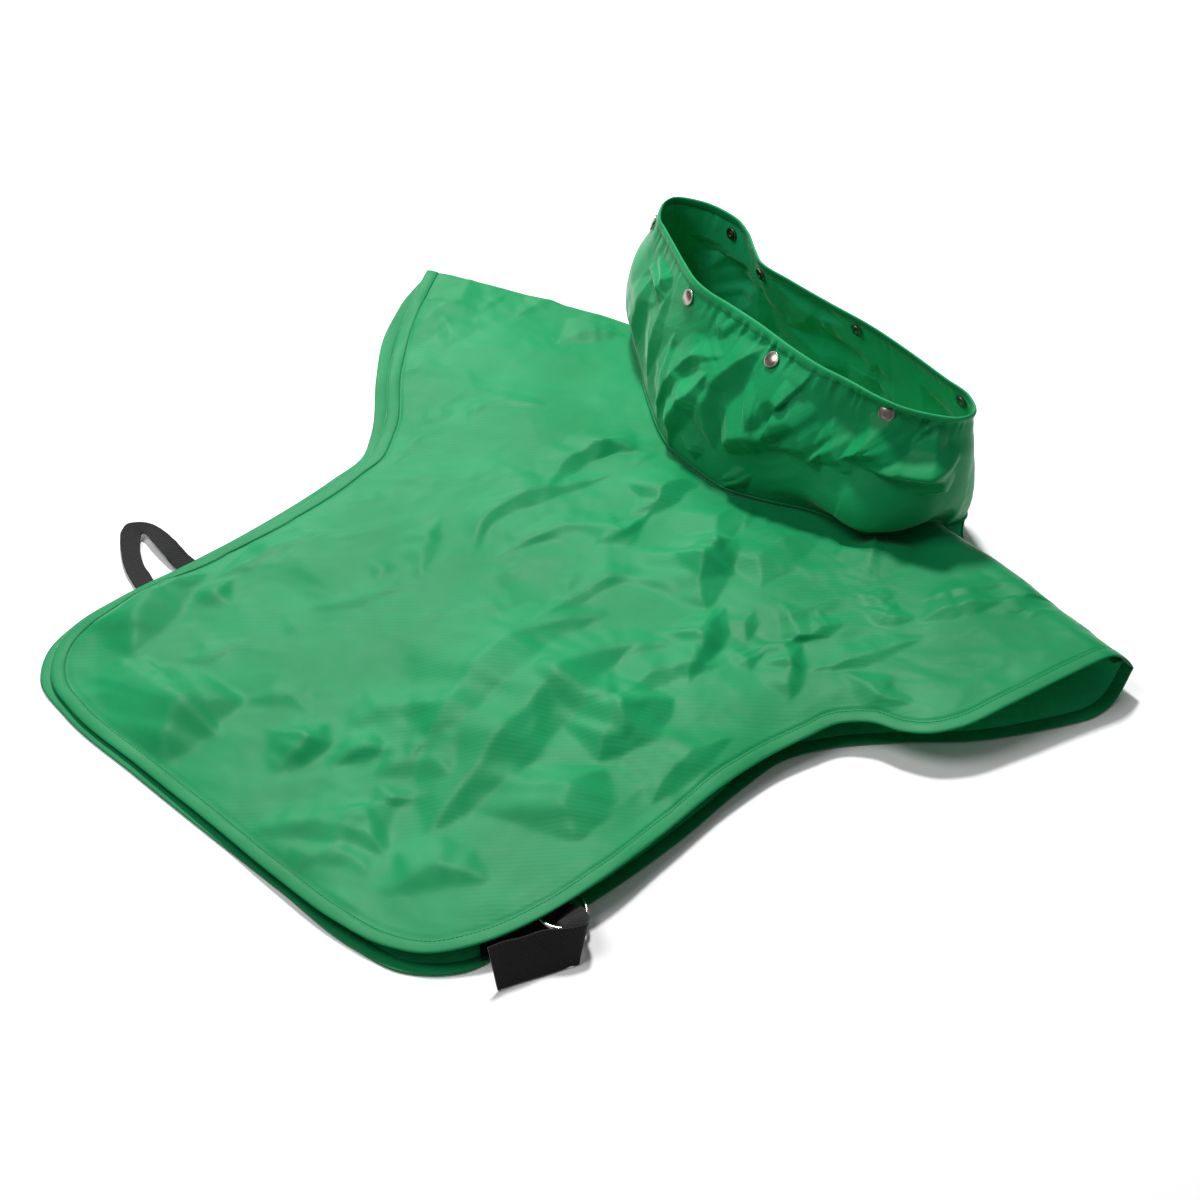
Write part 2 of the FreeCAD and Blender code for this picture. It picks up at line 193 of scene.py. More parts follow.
def thin_plate(places, heights):
    """Smooth surface z(x, y) through given heights."""
    places = np.asarray(places, float) / 100.0
    count = len(places)
    gap = np.linalg.norm(places[:, None] - places[None], axis=2)
    kernel = gap ** 2 * np.log(gap + 1e-9)
    plane = np.hstack([np.ones((count, 1)), places])
    system = np.block([[kernel, plane], [plane.T, np.zeros((3, 3))]])
    weights = np.linalg.solve(system, np.concatenate([heights, np.zeros(3)]))

    def height(x, y):
        x = x / 100.0
        y = y / 100.0
        total = weights[count] + weights[count + 1] * x + weights[count + 2] * y
        for (px, py), weight in zip(places, weights):
            square = (x - px) ** 2 + (y - py) ** 2
            total = total + weight * 0.5 * square * np.log(square + 1e-12)
        return total
    return height


def gradient_noise(x, y, seed):
    """Perlin noise over a plane, from -1 to 1, the same on every run."""
    angles = np.random.default_rng(seed).uniform(0.0, 2.0 * math.pi, (128, 128))
    xi = np.floor(x).astype(int)
    yi = np.floor(y).astype(int)
    fx = x - xi
    fy = y - yi

    def corner(dx, dy):
        angle = angles[(xi + dx) % 128, (yi + dy) % 128]
        return np.cos(angle) * (fx - dx) + np.sin(angle) * (fy - dy)
    blend_x = fx ** 3 * (fx * (fx * 6 - 15) + 10)
    blend_y = fy ** 3 * (fy * (fy * 6 - 15) + 10)
    low = corner(0, 0) * (1 - blend_x) + corner(1, 0) * blend_x
    high = corner(0, 1) * (1 - blend_x) + corner(1, 1) * blend_x
    return 1.4 * (low * (1 - blend_y) + high * blend_y)


def crumple(x, y, seed):
    """Sharp little creases in random directions, about 1 high, where the cloth has been handled."""
    along = x * GRAIN[0] + y * GRAIN[1]
    across = y * GRAIN[0] - x * GRAIN[1]
    bend_x = along / 1.45 + 14.0 * gradient_noise(x / 70.0, y / 70.0, seed)
    bend_y = across + 14.0 * gradient_noise(x / 70.0, y / 70.0, seed + 1)
    total = np.zeros_like(x)
    for octave, (size, share) in enumerate([(64.0, 0.9), (33.0, 0.5), (17.0, 0.25)]):
        field = gradient_noise(bend_x / size, bend_y / size, seed + 2 + octave)
        total += share * (1.0 - np.abs(field) * 2.2)
    return total


def crease(x, y, line, width, strength, side=SHADE, gentle=2.0):
    """Height of one crease: it falls over width on its shaded side and rises slowly on the other."""
    path = spline(line, np.linspace(0.0, 1.0, 21))
    reach = width * (gentle + 1.0)
    low = path.min(0) - reach
    high = path.max(0) + reach
    near = (x > low[0]) & (x < high[0]) & (y > low[1]) & (y < high[1])
    result = np.zeros_like(x)
    if not near.any():
        return result
    places = np.stack([x[near], y[near]], -1)
    best = np.full(len(places), 1e9)
    along = np.zeros(len(places))
    across = np.zeros(len(places))
    for k in range(len(path) - 1):
        run = path[k + 1] - path[k]
        length = np.linalg.norm(run)
        run = run / length
        square = np.array([-run[1], run[0]])
        if square @ side < 0:
            square = -square
        offset = places - path[k]
        share = np.clip(offset @ run / length, 0.0, 1.0)
        distance = np.linalg.norm(offset - share[:, None] * run * length, axis=1)
        closer = distance < best
        best[closer] = distance[closer]
        along[closer] = (k + share[closer]) / (len(path) - 1)
        across[closer] = (np.sign(offset @ square) * distance)[closer]
    taper = np.clip(along / 0.42, 0.0, 1.0) * np.clip((1.0 - along) / 0.42, 0.0, 1.0)
    ragged = 1.0 + 0.38 * gradient_noise(along * 5.0, np.full_like(along, line[0][0] * 0.37), 17)
    local = width * (0.05 + 1.1 * taper ** 0.75 * ragged)
    across = across + local / 2.0
    rounding = 0.08 * local
    away = np.sqrt(across ** 2 + rounding ** 2) - rounding
    tent = 1.0 - away / np.where(across > 0.0, local, gentle * local)
    shape = 0.5 * (tent + np.sqrt(tent ** 2 + 0.004))
    result[near] = strength * CREASE_SLOPE * local * shape
    return result


def eased(values):
    """Heights softened twice over their neighbours, so no fold is steeper than the mesh can follow."""
    for _ in range(2):
        wide = np.pad(values, 1, mode="edge")
        near = wide[:-2, 1:-1] + wide[2:, 1:-1] + wide[1:-1, :-2] + wide[1:-1, 2:]
        values = values / 2.0 + near / 8.0
    return values


def grid_normals(grid, closed=False):
    """Unit normals of a grid of points, on the side that rows x columns gives."""
    if closed:
        around = np.roll(grid, -1, 0) - np.roll(grid, 1, 0)
    else:
        around = np.gradient(grid, axis=0)
    down = np.gradient(grid, axis=1)
    return unit(np.cross(down, around))


# ---------------------------------------------------------------- meshes

def row(points):
    return (np.asarray(points, float).reshape(-1, 3) + SHIFT) * MM


def make_mesh(name, points, faces, material, cloth=None):
    """A smooth mesh; cloth gives each point's place on the flat cloth, where its weave is read."""
    mesh = bpy.data.meshes.new(name)
    mesh.from_pydata(row(points).tolist(), [], faces)
    mesh.polygons.foreach_set("use_smooth", [True] * len(faces))
    mesh.update()
    if cloth is not None:
        attribute = mesh.attributes.new("cloth", "FLOAT_VECTOR", "POINT")
        values = np.zeros((len(mesh.vertices), 3), np.float32)
        values[:, :2] = np.asarray(cloth).reshape(-1, 2) * MM
        attribute.data.foreach_set("vector", values.ravel())
    mesh.materials.append(material)
    return new_object(name, mesh)


def strip_quads(ids, closed):
    """Quads between neighbouring rows and columns of a grid of vertex numbers."""
    if closed:
        ids = np.vstack([ids, ids[:1]])
    return np.stack([ids[:-1, :-1], ids[:-1, 1:], ids[1:, 1:], ids[1:, :-1]], -1).reshape(-1, 4)


def outward(obj):
    """Turn a closed mesh's faces outward where its volume comes out negative."""
    mesh = obj.data
    points = np.empty(len(mesh.vertices) * 3)
    mesh.vertices.foreach_get("co", points)
    points = points.reshape(-1, 3)
    mesh.calc_loop_triangles()
    corners = np.empty(len(mesh.loop_triangles) * 3, np.int32)
    mesh.loop_triangles.foreach_get("vertices", corners)
    a, b, c = points[corners.reshape(-1, 3)].transpose(1, 0, 2)
    if (a * np.cross(b, c)).sum() < 0.0:
        mesh.flip_normals()
    return obj


def shell(name, top, normal, material, cloth, closed=False, inside="lower"):
    """A sheet of cloth as a closed thin mesh: the face given, the one under it, and the cut edges.
    Its inside, upper or lower, is the uncoated side of the nylon. Its paler green is partly painted light: it
    is brighter than that side would show, to stand in for light reaching the inner faces through the cloth."""
    columns, rows_ = top.shape[:2]
    under = top - normal * CLOTH_T
    count = columns * rows_
    upper = np.arange(count).reshape(columns, rows_)
    lower = upper + count
    quads = [strip_quads(upper, closed), strip_quads(lower, closed)[:, ::-1]]
    for edge, step in ((0, -1), (-1, 1)):
        rim = np.stack([upper[:, edge], lower[:, edge]], -1)
        quads.append(strip_quads(rim, closed)[:, ::step])
    if not closed:
        for edge, step in ((0, 1), (-1, -1)):
            rim = np.stack([upper[edge], lower[edge]], -1)
            quads.append(strip_quads(rim, False)[:, ::step])
    points = np.concatenate([top.reshape(-1, 3), under.reshape(-1, 3)])
    both = np.concatenate([cloth.reshape(-1, 2), cloth.reshape(-1, 2)])
    obj = make_mesh(name, points, np.concatenate(quads).tolist(), material, both)
    obj.data.materials.append(NYLON_INSIDE_PAINTED_LIGHT)
    # The inner faces take the paler material. That green is the uncoated side's own lighter tone, brightened
    # further as painted light.
    uncoated_and_lit = np.zeros(len(obj.data.polygons), np.int32)
    first = 0 if inside == "upper" else len(quads[0])
    uncoated_and_lit[first:first + len(quads[0])] = 1
    obj.data.polygons.foreach_set("material_index", uncoated_and_lit)
    return outward(obj)


def loft(name, loops, material, closed=False):
    """A closed solid through section loops, with its two ends capped where it isn't a ring."""
    loops = np.asarray(loops, float)
    stations, around = loops.shape[:2]
    faces = []
    for i in range(stations if closed else stations - 1):
        low = i * around
        high = (i + 1) % stations * around
        for j in range(around):
            after = (j + 1) % around
            faces.append((low + j, low + after, high + after, high + j))
    if not closed:
        faces.append(tuple(range(around - 1, -1, -1)))
        faces.append(tuple((stations - 1) * around + j for j in range(around)))
    reach = np.linalg.norm(loops - loops[:, :1], axis=2)
    cloth = np.stack([lengths_along(loops.mean(1))[:, None] * np.ones_like(reach), reach], -1)
    return outward(make_mesh(name, loops, faces, material, cloth))


def several(name, pieces, material):
    """Many small solids as one mesh; each piece is a list of points and a list of faces."""
    points = []
    faces = []
    for some_points, some_faces in pieces:
        start = len(points)
        points.extend(np.asarray(some_points, float).tolist())
        faces.extend([tuple(start + k for k in face) for face in some_faces])
    return make_mesh(name, points, faces, material)


def turned(profile, place, normal, side, ring=False, around=28, flat=1.0):
    """A turned part: its profile, radius and height, revolved about a normal; flat squeezes it across side."""
    normal = unit(normal)
    side = unit(side)
    other = np.cross(normal, side) * flat
    points = []
    rings = []
    for radius, height in profile:
        centre = place + normal * height
        if radius == 0.0:
            rings.append([len(points)] * around)
            points.append(centre)
            continue
        rings.append(list(range(len(points), len(points) + around)))
        for k in range(around):
            angle = 2.0 * math.pi * k / around
            points.append(centre + radius * (side * math.cos(angle) + other * math.sin(angle)))
    faces = []
    pairs = list(zip(rings[:-1], rings[1:]))
    if ring:
        pairs.append((rings[-1], rings[0]))
    for upper, lower in pairs:
        for k in range(around):
            face = [upper[k], lower[k], lower[(k + 1) % around], upper[(k + 1) % around]]
            face = list(dict.fromkeys(face))
            if len(face) > 2:
                faces.append(tuple(face))
    return points, faces


def bead(start, end, radius, up):
    """A stitch: a short bead of thread between two points, flattened a little on to the cloth."""
    run = end - start
    length = np.linalg.norm(run)
    profile = [(0.0, length + 0.6 * radius), (0.62 * radius, length), (radius, 0.75 * length),
               (radius, 0.25 * length), (0.62 * radius, 0.0), (0.0, -0.6 * radius)]
    return turned(profile, start, run, np.cross(up, run), around=6, flat=0.8)


def stitch_row(path, normals, pitch):
    """Stitches along a line of points on the cloth."""
    count = int(lengths_along(path)[-1] / pitch)
    knots = chord_knots(path)
    found = []
    for k in range(count):
        ends = []
        for offset in (-0.5, 0.5):
            where = np.clip((k + 0.5 + offset * STITCH_L / pitch) / count, 0.0, 1.0)
            ends.append(read_line(path, knots, where))
        up = read_line(normals, knots, (k + 0.5) / count)
        found.append(bead(ends[0], ends[1], STITCH_R, up))
    return found


# ---------------------------------------------------------------- materials

RIB_TURN = 45.0                   # the cloth's faint ribs, in degrees from the shoulders' line
RIB_PITCH = 0.0042                # metres
WEAVE_PITCH = 0.0009


class Nodes:
    """Short ways to add and join shader nodes."""

    def __init__(self, name):
        self.material = bpy.data.materials.new(name)
        self.material.use_nodes = True
        self.tree = self.material.node_tree
        self.shader = self.tree.nodes["Principled BSDF"]

    def feed(self, socket, value):
        if isinstance(value, bpy.types.NodeSocket):
            self.tree.links.new(value, socket)
        else:
            socket.default_value = value

    def add(self, kind, settings=(), **inputs):
        node = self.tree.nodes.new(kind)
        for key, value in dict(settings).items():
            setattr(node, key, value)
        for key, value in inputs.items():
            self.feed(node.inputs[key.replace("_", " ")], value)
        return node

    def math(self, operation, first, second):
        node = self.tree.nodes.new("ShaderNodeMath")
        node.operation = operation
        self.feed(node.inputs[0], first)
        self.feed(node.inputs[1], second)
        return node.outputs[0]

    def mix(self, share, first, second):
        node = self.tree.nodes.new("ShaderNodeMix")
        node.data_type = "RGBA"
        self.feed(node.inputs[0], share)
        self.feed(node.inputs[6], first + (1.0,))
        self.feed(node.inputs[7], second + (1.0,))
        return node.outputs[2]

    def ramp(self, value, low, high):
        return self.add("ShaderNodeMapRange", {"interpolation_type": "SMOOTHSTEP"}, Value=value,
                        From_Min=low, From_Max=high).outputs["Result"]

    def wire(self, output, name):
        self.tree.links.new(output, self.shader.inputs[name])

    def set(self, **inputs):
        for key, value in inputs.items():
            self.shader.inputs[key.replace("_", " ")].default_value = value

    def bump(self, height, distance, strength=1.0, under=None):
        node = self.add("ShaderNodeBump", Strength=strength, Distance=distance, Height=height)
        if under is not None:
            self.tree.links.new(under, node.inputs["Normal"])
        return node.outputs["Normal"]

    def noise(self, scale, detail, roughness=0.5):
        place = self.add("ShaderNodeTexCoord").outputs["Object"]
        return self.add("ShaderNodeTexNoise", Vector=place, Scale=scale, Detail=detail,
                        Roughness=roughness).outputs["Fac"]

    def bands(self, turn, period, distortion=0.0):
        """Parallel waves across the cloth, period apart, turned by turn degrees."""
        vector = self.add("ShaderNodeAttribute", {"attribute_name": "cloth"}).outputs["Vector"]
        turned = self.add("ShaderNodeMapping", Vector=vector, Rotation=(0.0, 0.0, math.radians(turn)))
        wave = self.add("ShaderNodeTexWave", {"wave_type": "BANDS", "bands_direction": "X"},
                        Vector=turned.outputs["Vector"], Scale=math.pi / 10.0 / period,
                        Distortion=distortion, Detail=1.0)
        return wave.outputs["Fac"]


def nylon(name, deep, pale, twill=1.0):
    """Coated nylon: a fine weave under a satin coating, faint ribs, and worn, paler patches."""
    n = Nodes(name)
    diagonal = n.math("MULTIPLY", n.bands(RIB_TURN, RIB_PITCH, 1.2), n.ramp(n.noise(5.0, 1.0), 0.42, 0.6))
    rib = n.math("MULTIPLY", diagonal, -0.30 * twill)
    share = n.math("ADD", n.ramp(n.noise(9.0, 4.0, 0.55), 0.3, 0.7), rib)
    n.wire(n.mix(share, deep, pale), "Base Color")
    rough = n.add("ShaderNodeMapRange", Value=n.noise(34.0, 5.0, 0.6), From_Min=0.3, From_Max=0.7,
                  To_Min=0.42, To_Max=0.52)
    n.wire(rough.outputs["Result"], "Roughness")
    weave = n.math("MULTIPLY", n.bands(0.0, WEAVE_PITCH), n.bands(90.0, WEAVE_PITCH))
    grain = n.bump(weave, 0.00005, 0.6)
    ribbed = n.bump(diagonal, 0.00005 * twill, 0.6, grain)
    n.wire(n.bump(n.noise(120.0, 3.0), 0.0003, 0.4, ribbed), "Normal")
    n.set(Specular_IOR_Level=0.13, Sheen_Weight=0.26, Sheen_Roughness=0.28)
    n.set(Sheen_Tint=(0.85, 1.0, 0.90, 1.0))
    return n.material


def webbing(name, deep, pale, period=0.0024):
    """Woven strap: rows of small diagonal ribs along its length."""
    n = Nodes(name)
    chevron = n.math("MULTIPLY", n.bands(35.0, period), n.bands(-35.0, period))
    fuzz = n.noise(900.0, 3.0)
    share = n.math("ADD", chevron, n.math("MULTIPLY", fuzz, 0.25))
    n.wire(n.mix(share, deep, pale), "Base Color")
    woven = n.bump(chevron, 0.0003, 0.9)
    n.wire(n.bump(fuzz, 0.0001, 0.6, woven), "Normal")
    n.set(Roughness=0.82, Specular_IOR_Level=0.25, Sheen_Weight=0.2, Sheen_Roughness=0.5)
    return n.material


def tape_pile(name, colour, scale, depth):
    """Hook or loop tape: a dense field of tiny hooks or loops."""
    n = Nodes(name)
    place = n.add("ShaderNodeTexCoord").outputs["Object"]
    cells = n.add("ShaderNodeTexVoronoi", Vector=place, Scale=scale)
    tips = n.ramp(cells.outputs["Distance"], 0.0, 0.6)
    n.wire(n.mix(tips, tuple(2.2 * c for c in colour), colour), "Base Color")
    n.wire(n.bump(tips, -depth), "Normal")
    n.set(Roughness=0.85, Specular_IOR_Level=0.3)
    return n.material


def metal(name, tint, rough):
    """Nickel plate with fine scuffs and slightly warm, tarnished patches."""
    n = Nodes(name)
    warm = tuple(a * b for a, b in zip(tint, (0.72, 0.55, 0.45)))
    n.wire(n.mix(n.ramp(n.noise(260.0, 4.0), 0.48, 0.75), tint, warm), "Base Color")
    scuff = n.noise(1400.0, 2.0)
    span = n.add("ShaderNodeMapRange", Value=scuff, To_Min=rough * 0.7, To_Max=rough * 1.5)
    n.wire(span.outputs["Result"], "Roughness")
    n.wire(n.bump(scuff, 0.00002, 0.5), "Normal")
    n.set(Metallic=1.0)
    return n.material


def thread(name, colour):
    """Twisted sewing thread."""
    n = Nodes(name)
    ply = n.noise(1600.0, 2.0)
    n.wire(n.mix(ply, tuple(0.6 * c for c in colour), colour), "Base Color")
    n.wire(n.bump(ply, 0.0001, 0.8), "Normal")
    n.set(Roughness=0.6, Specular_IOR_Level=0.4)
    return n.material


NYLON = nylon("nylon_green", (0.0030, 0.215, 0.068), (0.0080, 0.262, 0.092))
# The collar is the panels' green nylon painted about a fifth lighter. This is painted light on the collar and
# its casing.
NYLON_COLLAR_PAINTED_LIGHT = nylon("nylon_collar_painted_light", (0.0036, 0.258, 0.082), (0.0096, 0.314, 0.110), 0.5)
# The uncoated side's green is paler than the coated side. It is also brightened as painted light on the
# collar's inner walls and the back panel's upper face.
NYLON_INSIDE_PAINTED_LIGHT = nylon("nylon_inside_painted_light", (0.0150, 0.480, 0.186), (0.0300, 0.570, 0.244), 0.5)
NYLON_BINDING = nylon("nylon_binding", (0.0025, 0.200, 0.062), (0.0065, 0.240, 0.082), 0.4)
THREAD_GREEN = thread("thread_green", (0.004, 0.19, 0.060))
THREAD_BLACK = thread("thread_black", (0.012, 0.012, 0.013))
WEBBING = webbing("webbing_black", (0.0022, 0.0022, 0.0026), (0.008, 0.008, 0.009))
HOOK = tape_pile("hook_tape", (0.006, 0.006, 0.007), 900.0, 0.0004)
LOOP = tape_pile("loop_tape", (0.010, 0.010, 0.011), 500.0, 0.0008)
SNAP_METAL = metal("snap_nickel", (0.44, 0.37, 0.33), 0.24)
SOCKET_METAL = metal("snap_socket_nickel", (0.30, 0.20, 0.16), 0.30)
RING_METAL = metal("ring_nickel", (0.50, 0.49, 0.48), 0.22)
ELASTIC = webbing("elastic_white", (0.55, 0.55, 0.53), (0.75, 0.75, 0.72), 0.0016)

# ---------------------------------------------------------------- panels

# The neck seam in pairs with the rim over it: from the left neck point round the front, then the back.
NECK_SEAM = [
    (-219, 76), (-206, 60), (-189, 45), (-160, 24), (-132, 3), (-104, -16), (-84, -29), (-55, -44),
    (-20, -52), (25, -54), (60, -42), (92, -27), (125, -21), (147, -18), (164, -4), (176, 20), (186, 48),
    (190, 70), (165, 88), (120, 92), (65, 95), (15, 96), (-35, 96), (-75, 95), (-100, 93), (-130, 91),
    (-165, 89), (-192, 87), (-206, 82),
]
FRONT_NECK_COUNT = 17            # the first ones of them lie on the front panel
RIM = [
    (-178, 80), (-164, 58), (-151, 51), (-128, 39), (-105, 27), (-78, 15), (-61, 12), (-36, 12), (-3, 11),
    (38, 7), (72, 6), (102, 9), (134, 11), (157, 16), (180, 27), (197, 41), (198, 57), (182, 68), (154, 71),
    (111, 76), (64, 79), (20, 77), (-25, 76), (-60, 77), (-75, 86), (-97, 101), (-120, 109), (-157, 104),
    (-177, 91),
]
SEAM_FRONT_Z = [14, 15, 17, 19, 21, 23, 24, 25, 26, 26, 26, 26, 27, 27, 29, 32, 36]

FRONT_EDGE = [
    (-428, 12, 5), (-400, -33, 5), (-371, -75, 6), (-330, -126, 6), (-270, -187, 7), (-250, -220, 8),
    (-243, -262, 8), (-243, -366, 8), (-252, -440, 6), (-258, -520, 5), (-252, -560, 5), (-238, -582, 5),
    (-213, -600, 5), (-180, -608, 5), (-87, -611, 6), (0, -613, 8), (80, -616, 10), (150, -615, 12),
    (190, -608, 13), (222, -592, 15), (245, -562, 18), (262, -515, 22), (270, -460, 26), (268, -390, 23),
    (264, -307, 21), (268, -256, 20), (274, -230, 21), (284, -200, 23), (301, -185, 25), (327, -177, 27),
    (346, -166, 30), (360, -148, 33), (375, -104, 38), (388, -55, 42), (400, -14, 45), (410, 14, 46),
]
BACK_EDGE = [
    (-432, 10, 1), (-404, -45, 1), (-377, -90, 1), (-338, -134, 1), (-276, -197, 1), (-259, -222, 1),
    (-254, -262, 1), (-252, -366, 1), (-258, -450, 1), (-262, -540, 1), (-252, -575, 1), (-226, -603, 1),
    (-180, -614, 1), (-87, -617, 1), (0, -618, 1), (87, -618, 1), (170, -618, 1), (215, -608, 1),
    (246, -578, 1), (256, -530, 1), (266, -450, 1), (268, -366, 1), (264, -290, 1), (266, -246, 1),
    (284, -208, 1), (318, -166, 1), (362, -120, 1), (390, -78, 1), (407, -46, 1), (418, -16, 1),
    (424, 10, 1),
]
# Shares along the free edge and the neck seam that a ray between them joins.
FRONT_RAYS = [
    (0.0, 0.0), (0.17, 0.21), (0.33, 0.36), (0.41, 0.43), (0.61, 0.58), (0.69, 0.64), (0.82, 0.79),
    (1.0, 1.0),
]
BACK_RAYS = [
    (0.0, 0.0), (0.17, 0.10), (0.33, 0.2), (0.41, 0.28), (0.61, 0.70), (0.69, 0.78), (0.82, 0.9),
    (1.0, 1.0),
]

# Heights of the front panel's middle surface: the left sleeve lies flat and the right one stands open.
FRONT_HEIGHTS = [
    (-428, 12, 5), (-371, -75, 7), (-300, -150, 8), (-250, -220, 9), (-243, -366, 9), (-258, -520, 6),
    (-213, -600, 6), (0, -613, 9), (150, -615, 13), (245, -562, 19), (270, -460, 27), (266, -350, 23),
    (270, -250, 22), (300, -190, 25), (345, -165, 31), (375, -100, 39), (412, 12, 46), (310, 50, 46),
    (205, 78, 40), (-310, 45, 12), (-209, 74, 16), (0, -300, 22), (0, -150, 27), (150, -100, 32),
    (-150, -100, 24), (-120, -400, 16), (120, -450, 22), (0, -60, 27), (-130, 0, 22), (130, -28, 29),
    (-300, -50, 17), (250, -60, 38), (-200, -300, 15), (200, -300, 27), (0, -500, 14),
]

# Creases of the front panel: the line that each runs along, its width and how steep it is.
FRONT_CREASES = [
    ([(70, -465), (65, -420), (50, -360), (45, -300), (65, -240)], 26, 1.0),
    ([(140, -510), (130, -435), (115, -360), (105, -275), (130, -235)], 30, 1.0),
    ([(20, -245), (10, -210)], 8, 0.7), ([(30, -290), (35, -230), (40, -205), (90, -180)], 9, 0.9),
    ([(-35, -335), (-10, -305), (5, -265)], 7, 0.7), ([(120, -180), (95, -145), (80, -100)], 26, 0.9),
    ([(170, -255), (150, -210), (125, -175)], 16, 0.8), ([(150, -310), (150, -270), (175, -225)], 12, 0.7),
    ([(115, -290), (145, -315), (180, -340)], 9, 0.8), ([(180, -365), (175, -325), (175, -280)], 34, 0.8),
    ([(230, -440), (205, -405), (190, -370)], 30, 0.6),
    ([(35, -600), (60, -575), (95, -555), (130, -545)], 15, 1.2),
    ([(90, -610), (95, -585), (115, -570), (135, -570)], 12, 0.8),
    ([(70, -500), (95, -520), (115, -545)], 16, 0.8), ([(60, -495), (80, -470), (110, -460)], 16, 0.9),
    ([(25, -515), (35, -490), (50, -460)], 9, 0.8), ([(0, -545), (0, -515), (10, -490)], 14, 0.7),
    ([(155, -575), (165, -560), (175, -540), (210, -515)], 15, 0.9), ([(150, -610), (150, -585)], 9, 0.5),
    ([(-190, -535), (-220, -475), (-225, -430)], 28, 1.0),
    ([(-215, -425), (-205, -400), (-200, -355), (-195, -330)], 11, 0.9),
    ([(-220, -450), (-200, -450), (-175, -440)], 10, 0.8), ([(-235, -365), (-210, -340)], 8, 0.6),
    ([(-125, -400), (-100, -375), (-90, -345), (-80, -320)], 8, 0.7),
    ([(-115, -435), (-110, -415)], 6, 0.5),
    ([(-160, -515), (-140, -500), (-135, -475), (-130, -460)], 8, 0.7),
    ([(-150, -550), (-140, -525)], 6, 0.5), ([(-75, -595), (-90, -545), (-80, -510)], 34, 1.0),
    ([(-80, -510), (-50, -485), (-30, -485)], 8, 0.7), ([(-85, -310), (-110, -275), (-130, -245)], 10, 0.8),
    ([(-110, -340), (-110, -315)], 8, 0.6), ([(10, -535), (0, -500), (-10, -480)], 14, 0.7),
    ([(20, -510), (35, -490), (55, -465)], 10, 0.8), ([(5, -475), (25, -435), (50, -415)], 14, 0.7),
    ([(-45, -350), (-35, -330)], 5, 0.5), ([(-340, -100), (-350, -55), (-345, -15), (-380, 25)], 26, 0.6),
    ([(-330, -10), (-335, 25)], 7, 0.6), ([(-300, 5), (-295, 40), (-280, 65)], 9, 0.8),
    ([(-350, -40), (-310, -70)], 9, 0.6), ([(-320, -125), (-305, -95)], 5, 0.5),
    ([(-240, 0), (-225, 30), (-205, 50)], 12, 0.9), ([(-250, -130), (-245, -120), (-230, -90)], 6, 0.6),
    ([(-245, -165), (-230, -135)], 6, 0.6), ([(-210, -140), (-215, -115), (-175, -75)], 7, 0.7),
    ([(-220, -220), (-225, -190), (-235, -165)], 6, 0.6),
    ([(-85, -160), (-95, -125), (-90, -90), (-65, -65)], 13, 1.1),
    ([(-75, -260), (-95, -220), (-90, -190), (-75, -150), (-60, -105)], 13, 1.0),
    ([(-55, -250), (-45, -210), (-35, -185), (5, -160), (0, -120)], 11, 0.9),
    ([(-205, -285), (-185, -260)], 6, 0.5), ([(-85, -100), (-85, -75), (-70, -70)], 11, 0.8),
    ([(-55, -85), (-55, -55)], 6, 0.5), ([(-10, -135), (0, -115), (-5, -80), (5, -55)], 13, 1.1),
    ([(-5, -185), (10, -160), (0, -135)], 11, 0.8), ([(85, -125), (60, -90), (45, -55)], 15, 0.9),
    ([(75, -85), (55, -50)], 7, 0.6), ([(70, -110), (90, -135), (95, -160)], 20, 0.8),
    ([(125, -45), (120, -80), (135, -130)], 26, 0.6), ([(150, -60), (185, -45), (200, -15)], 30, 0.6),
    ([(200, -85), (215, -85), (235, -85)], 7, 0.8), ([(215, -95), (240, -95), (255, -80)], 10, 0.9),
    ([(205, -145), (215, -120)], 8, 0.7), ([(245, -60), (270, -25), (285, 0)], 8, 0.7),
    ([(260, -80), (285, -40), (295, -25)], 12, 0.8),
    ([(230, -175), (250, -150), (265, -115), (275, -90)], 9, 0.8),
    ([(240, -210), (220, -180), (205, -160)], 12, 0.8),
    ([(250, -160), (275, -165), (290, -170), (315, -150)], 11, 0.9), ([(150, -155), (170, -185)], 8, 0.7),
    ([(165, -205), (195, -210)], 9, 0.7), ([(160, -135), (195, -160), (230, -190)], 11, 0.8),
    ([(165, -240), (150, -200), (130, -170)], 14, 0.8), ([(240, -370), (235, -325), (235, -275)], 16, 0.6),
    ([(255, 45), (310, 30), (365, 10)], 16, 0.5), ([(225, 20), (275, 10), (325, -25)], 18, 0.4),
]

FRONT_COLUMNS = 560
FRONT_ROWS = 180
BACK_COLUMNS = 400
BACK_ROWS = 110


def ray_grid(neck, edge, rays, columns, rows_):
    """Points between the neck seam and the free edge, and the distance in from that edge."""
    t = np.linspace(0.0, 1.0, columns)
    edge_share, neck_share = np.array(rays).T
    joined = spline(neck_share[:, None], t, knots=edge_share)[:, 0]
    near = spline(neck, joined)
    far = spline(edge, t)
    s = np.linspace(0.0, 1.0, rows_)[None, :, None]
    grid = near[:, None] * (1.0 - s) + far[:, None] * s
    ray = (far - near)[:, :2]
    run = unit(np.gradient(far[:, :2], axis=0))
    reach = np.abs(ray[:, 0] * run[:, 1] - ray[:, 1] * run[:, 0])
    inset = (1.0 - s[:, :, 0]) * reach[:, None]
    return grid, inset, reach


def meet_curves(grid, surface):
    """Heights from a smooth surface, corrected so that they meet the grid's own two end curves."""
    s = np.linspace(0.0, 1.0, grid.shape[1])[None]
    heights = surface(grid[:, :, 0], grid[:, :, 1])
    at_neck = grid[:, :1, 2] - heights[:, :1]
    at_edge = grid[:, -1:, 2] - heights[:, -1:]
    return heights + at_neck * (1.0 - s) ** 6 + at_edge * s ** 6


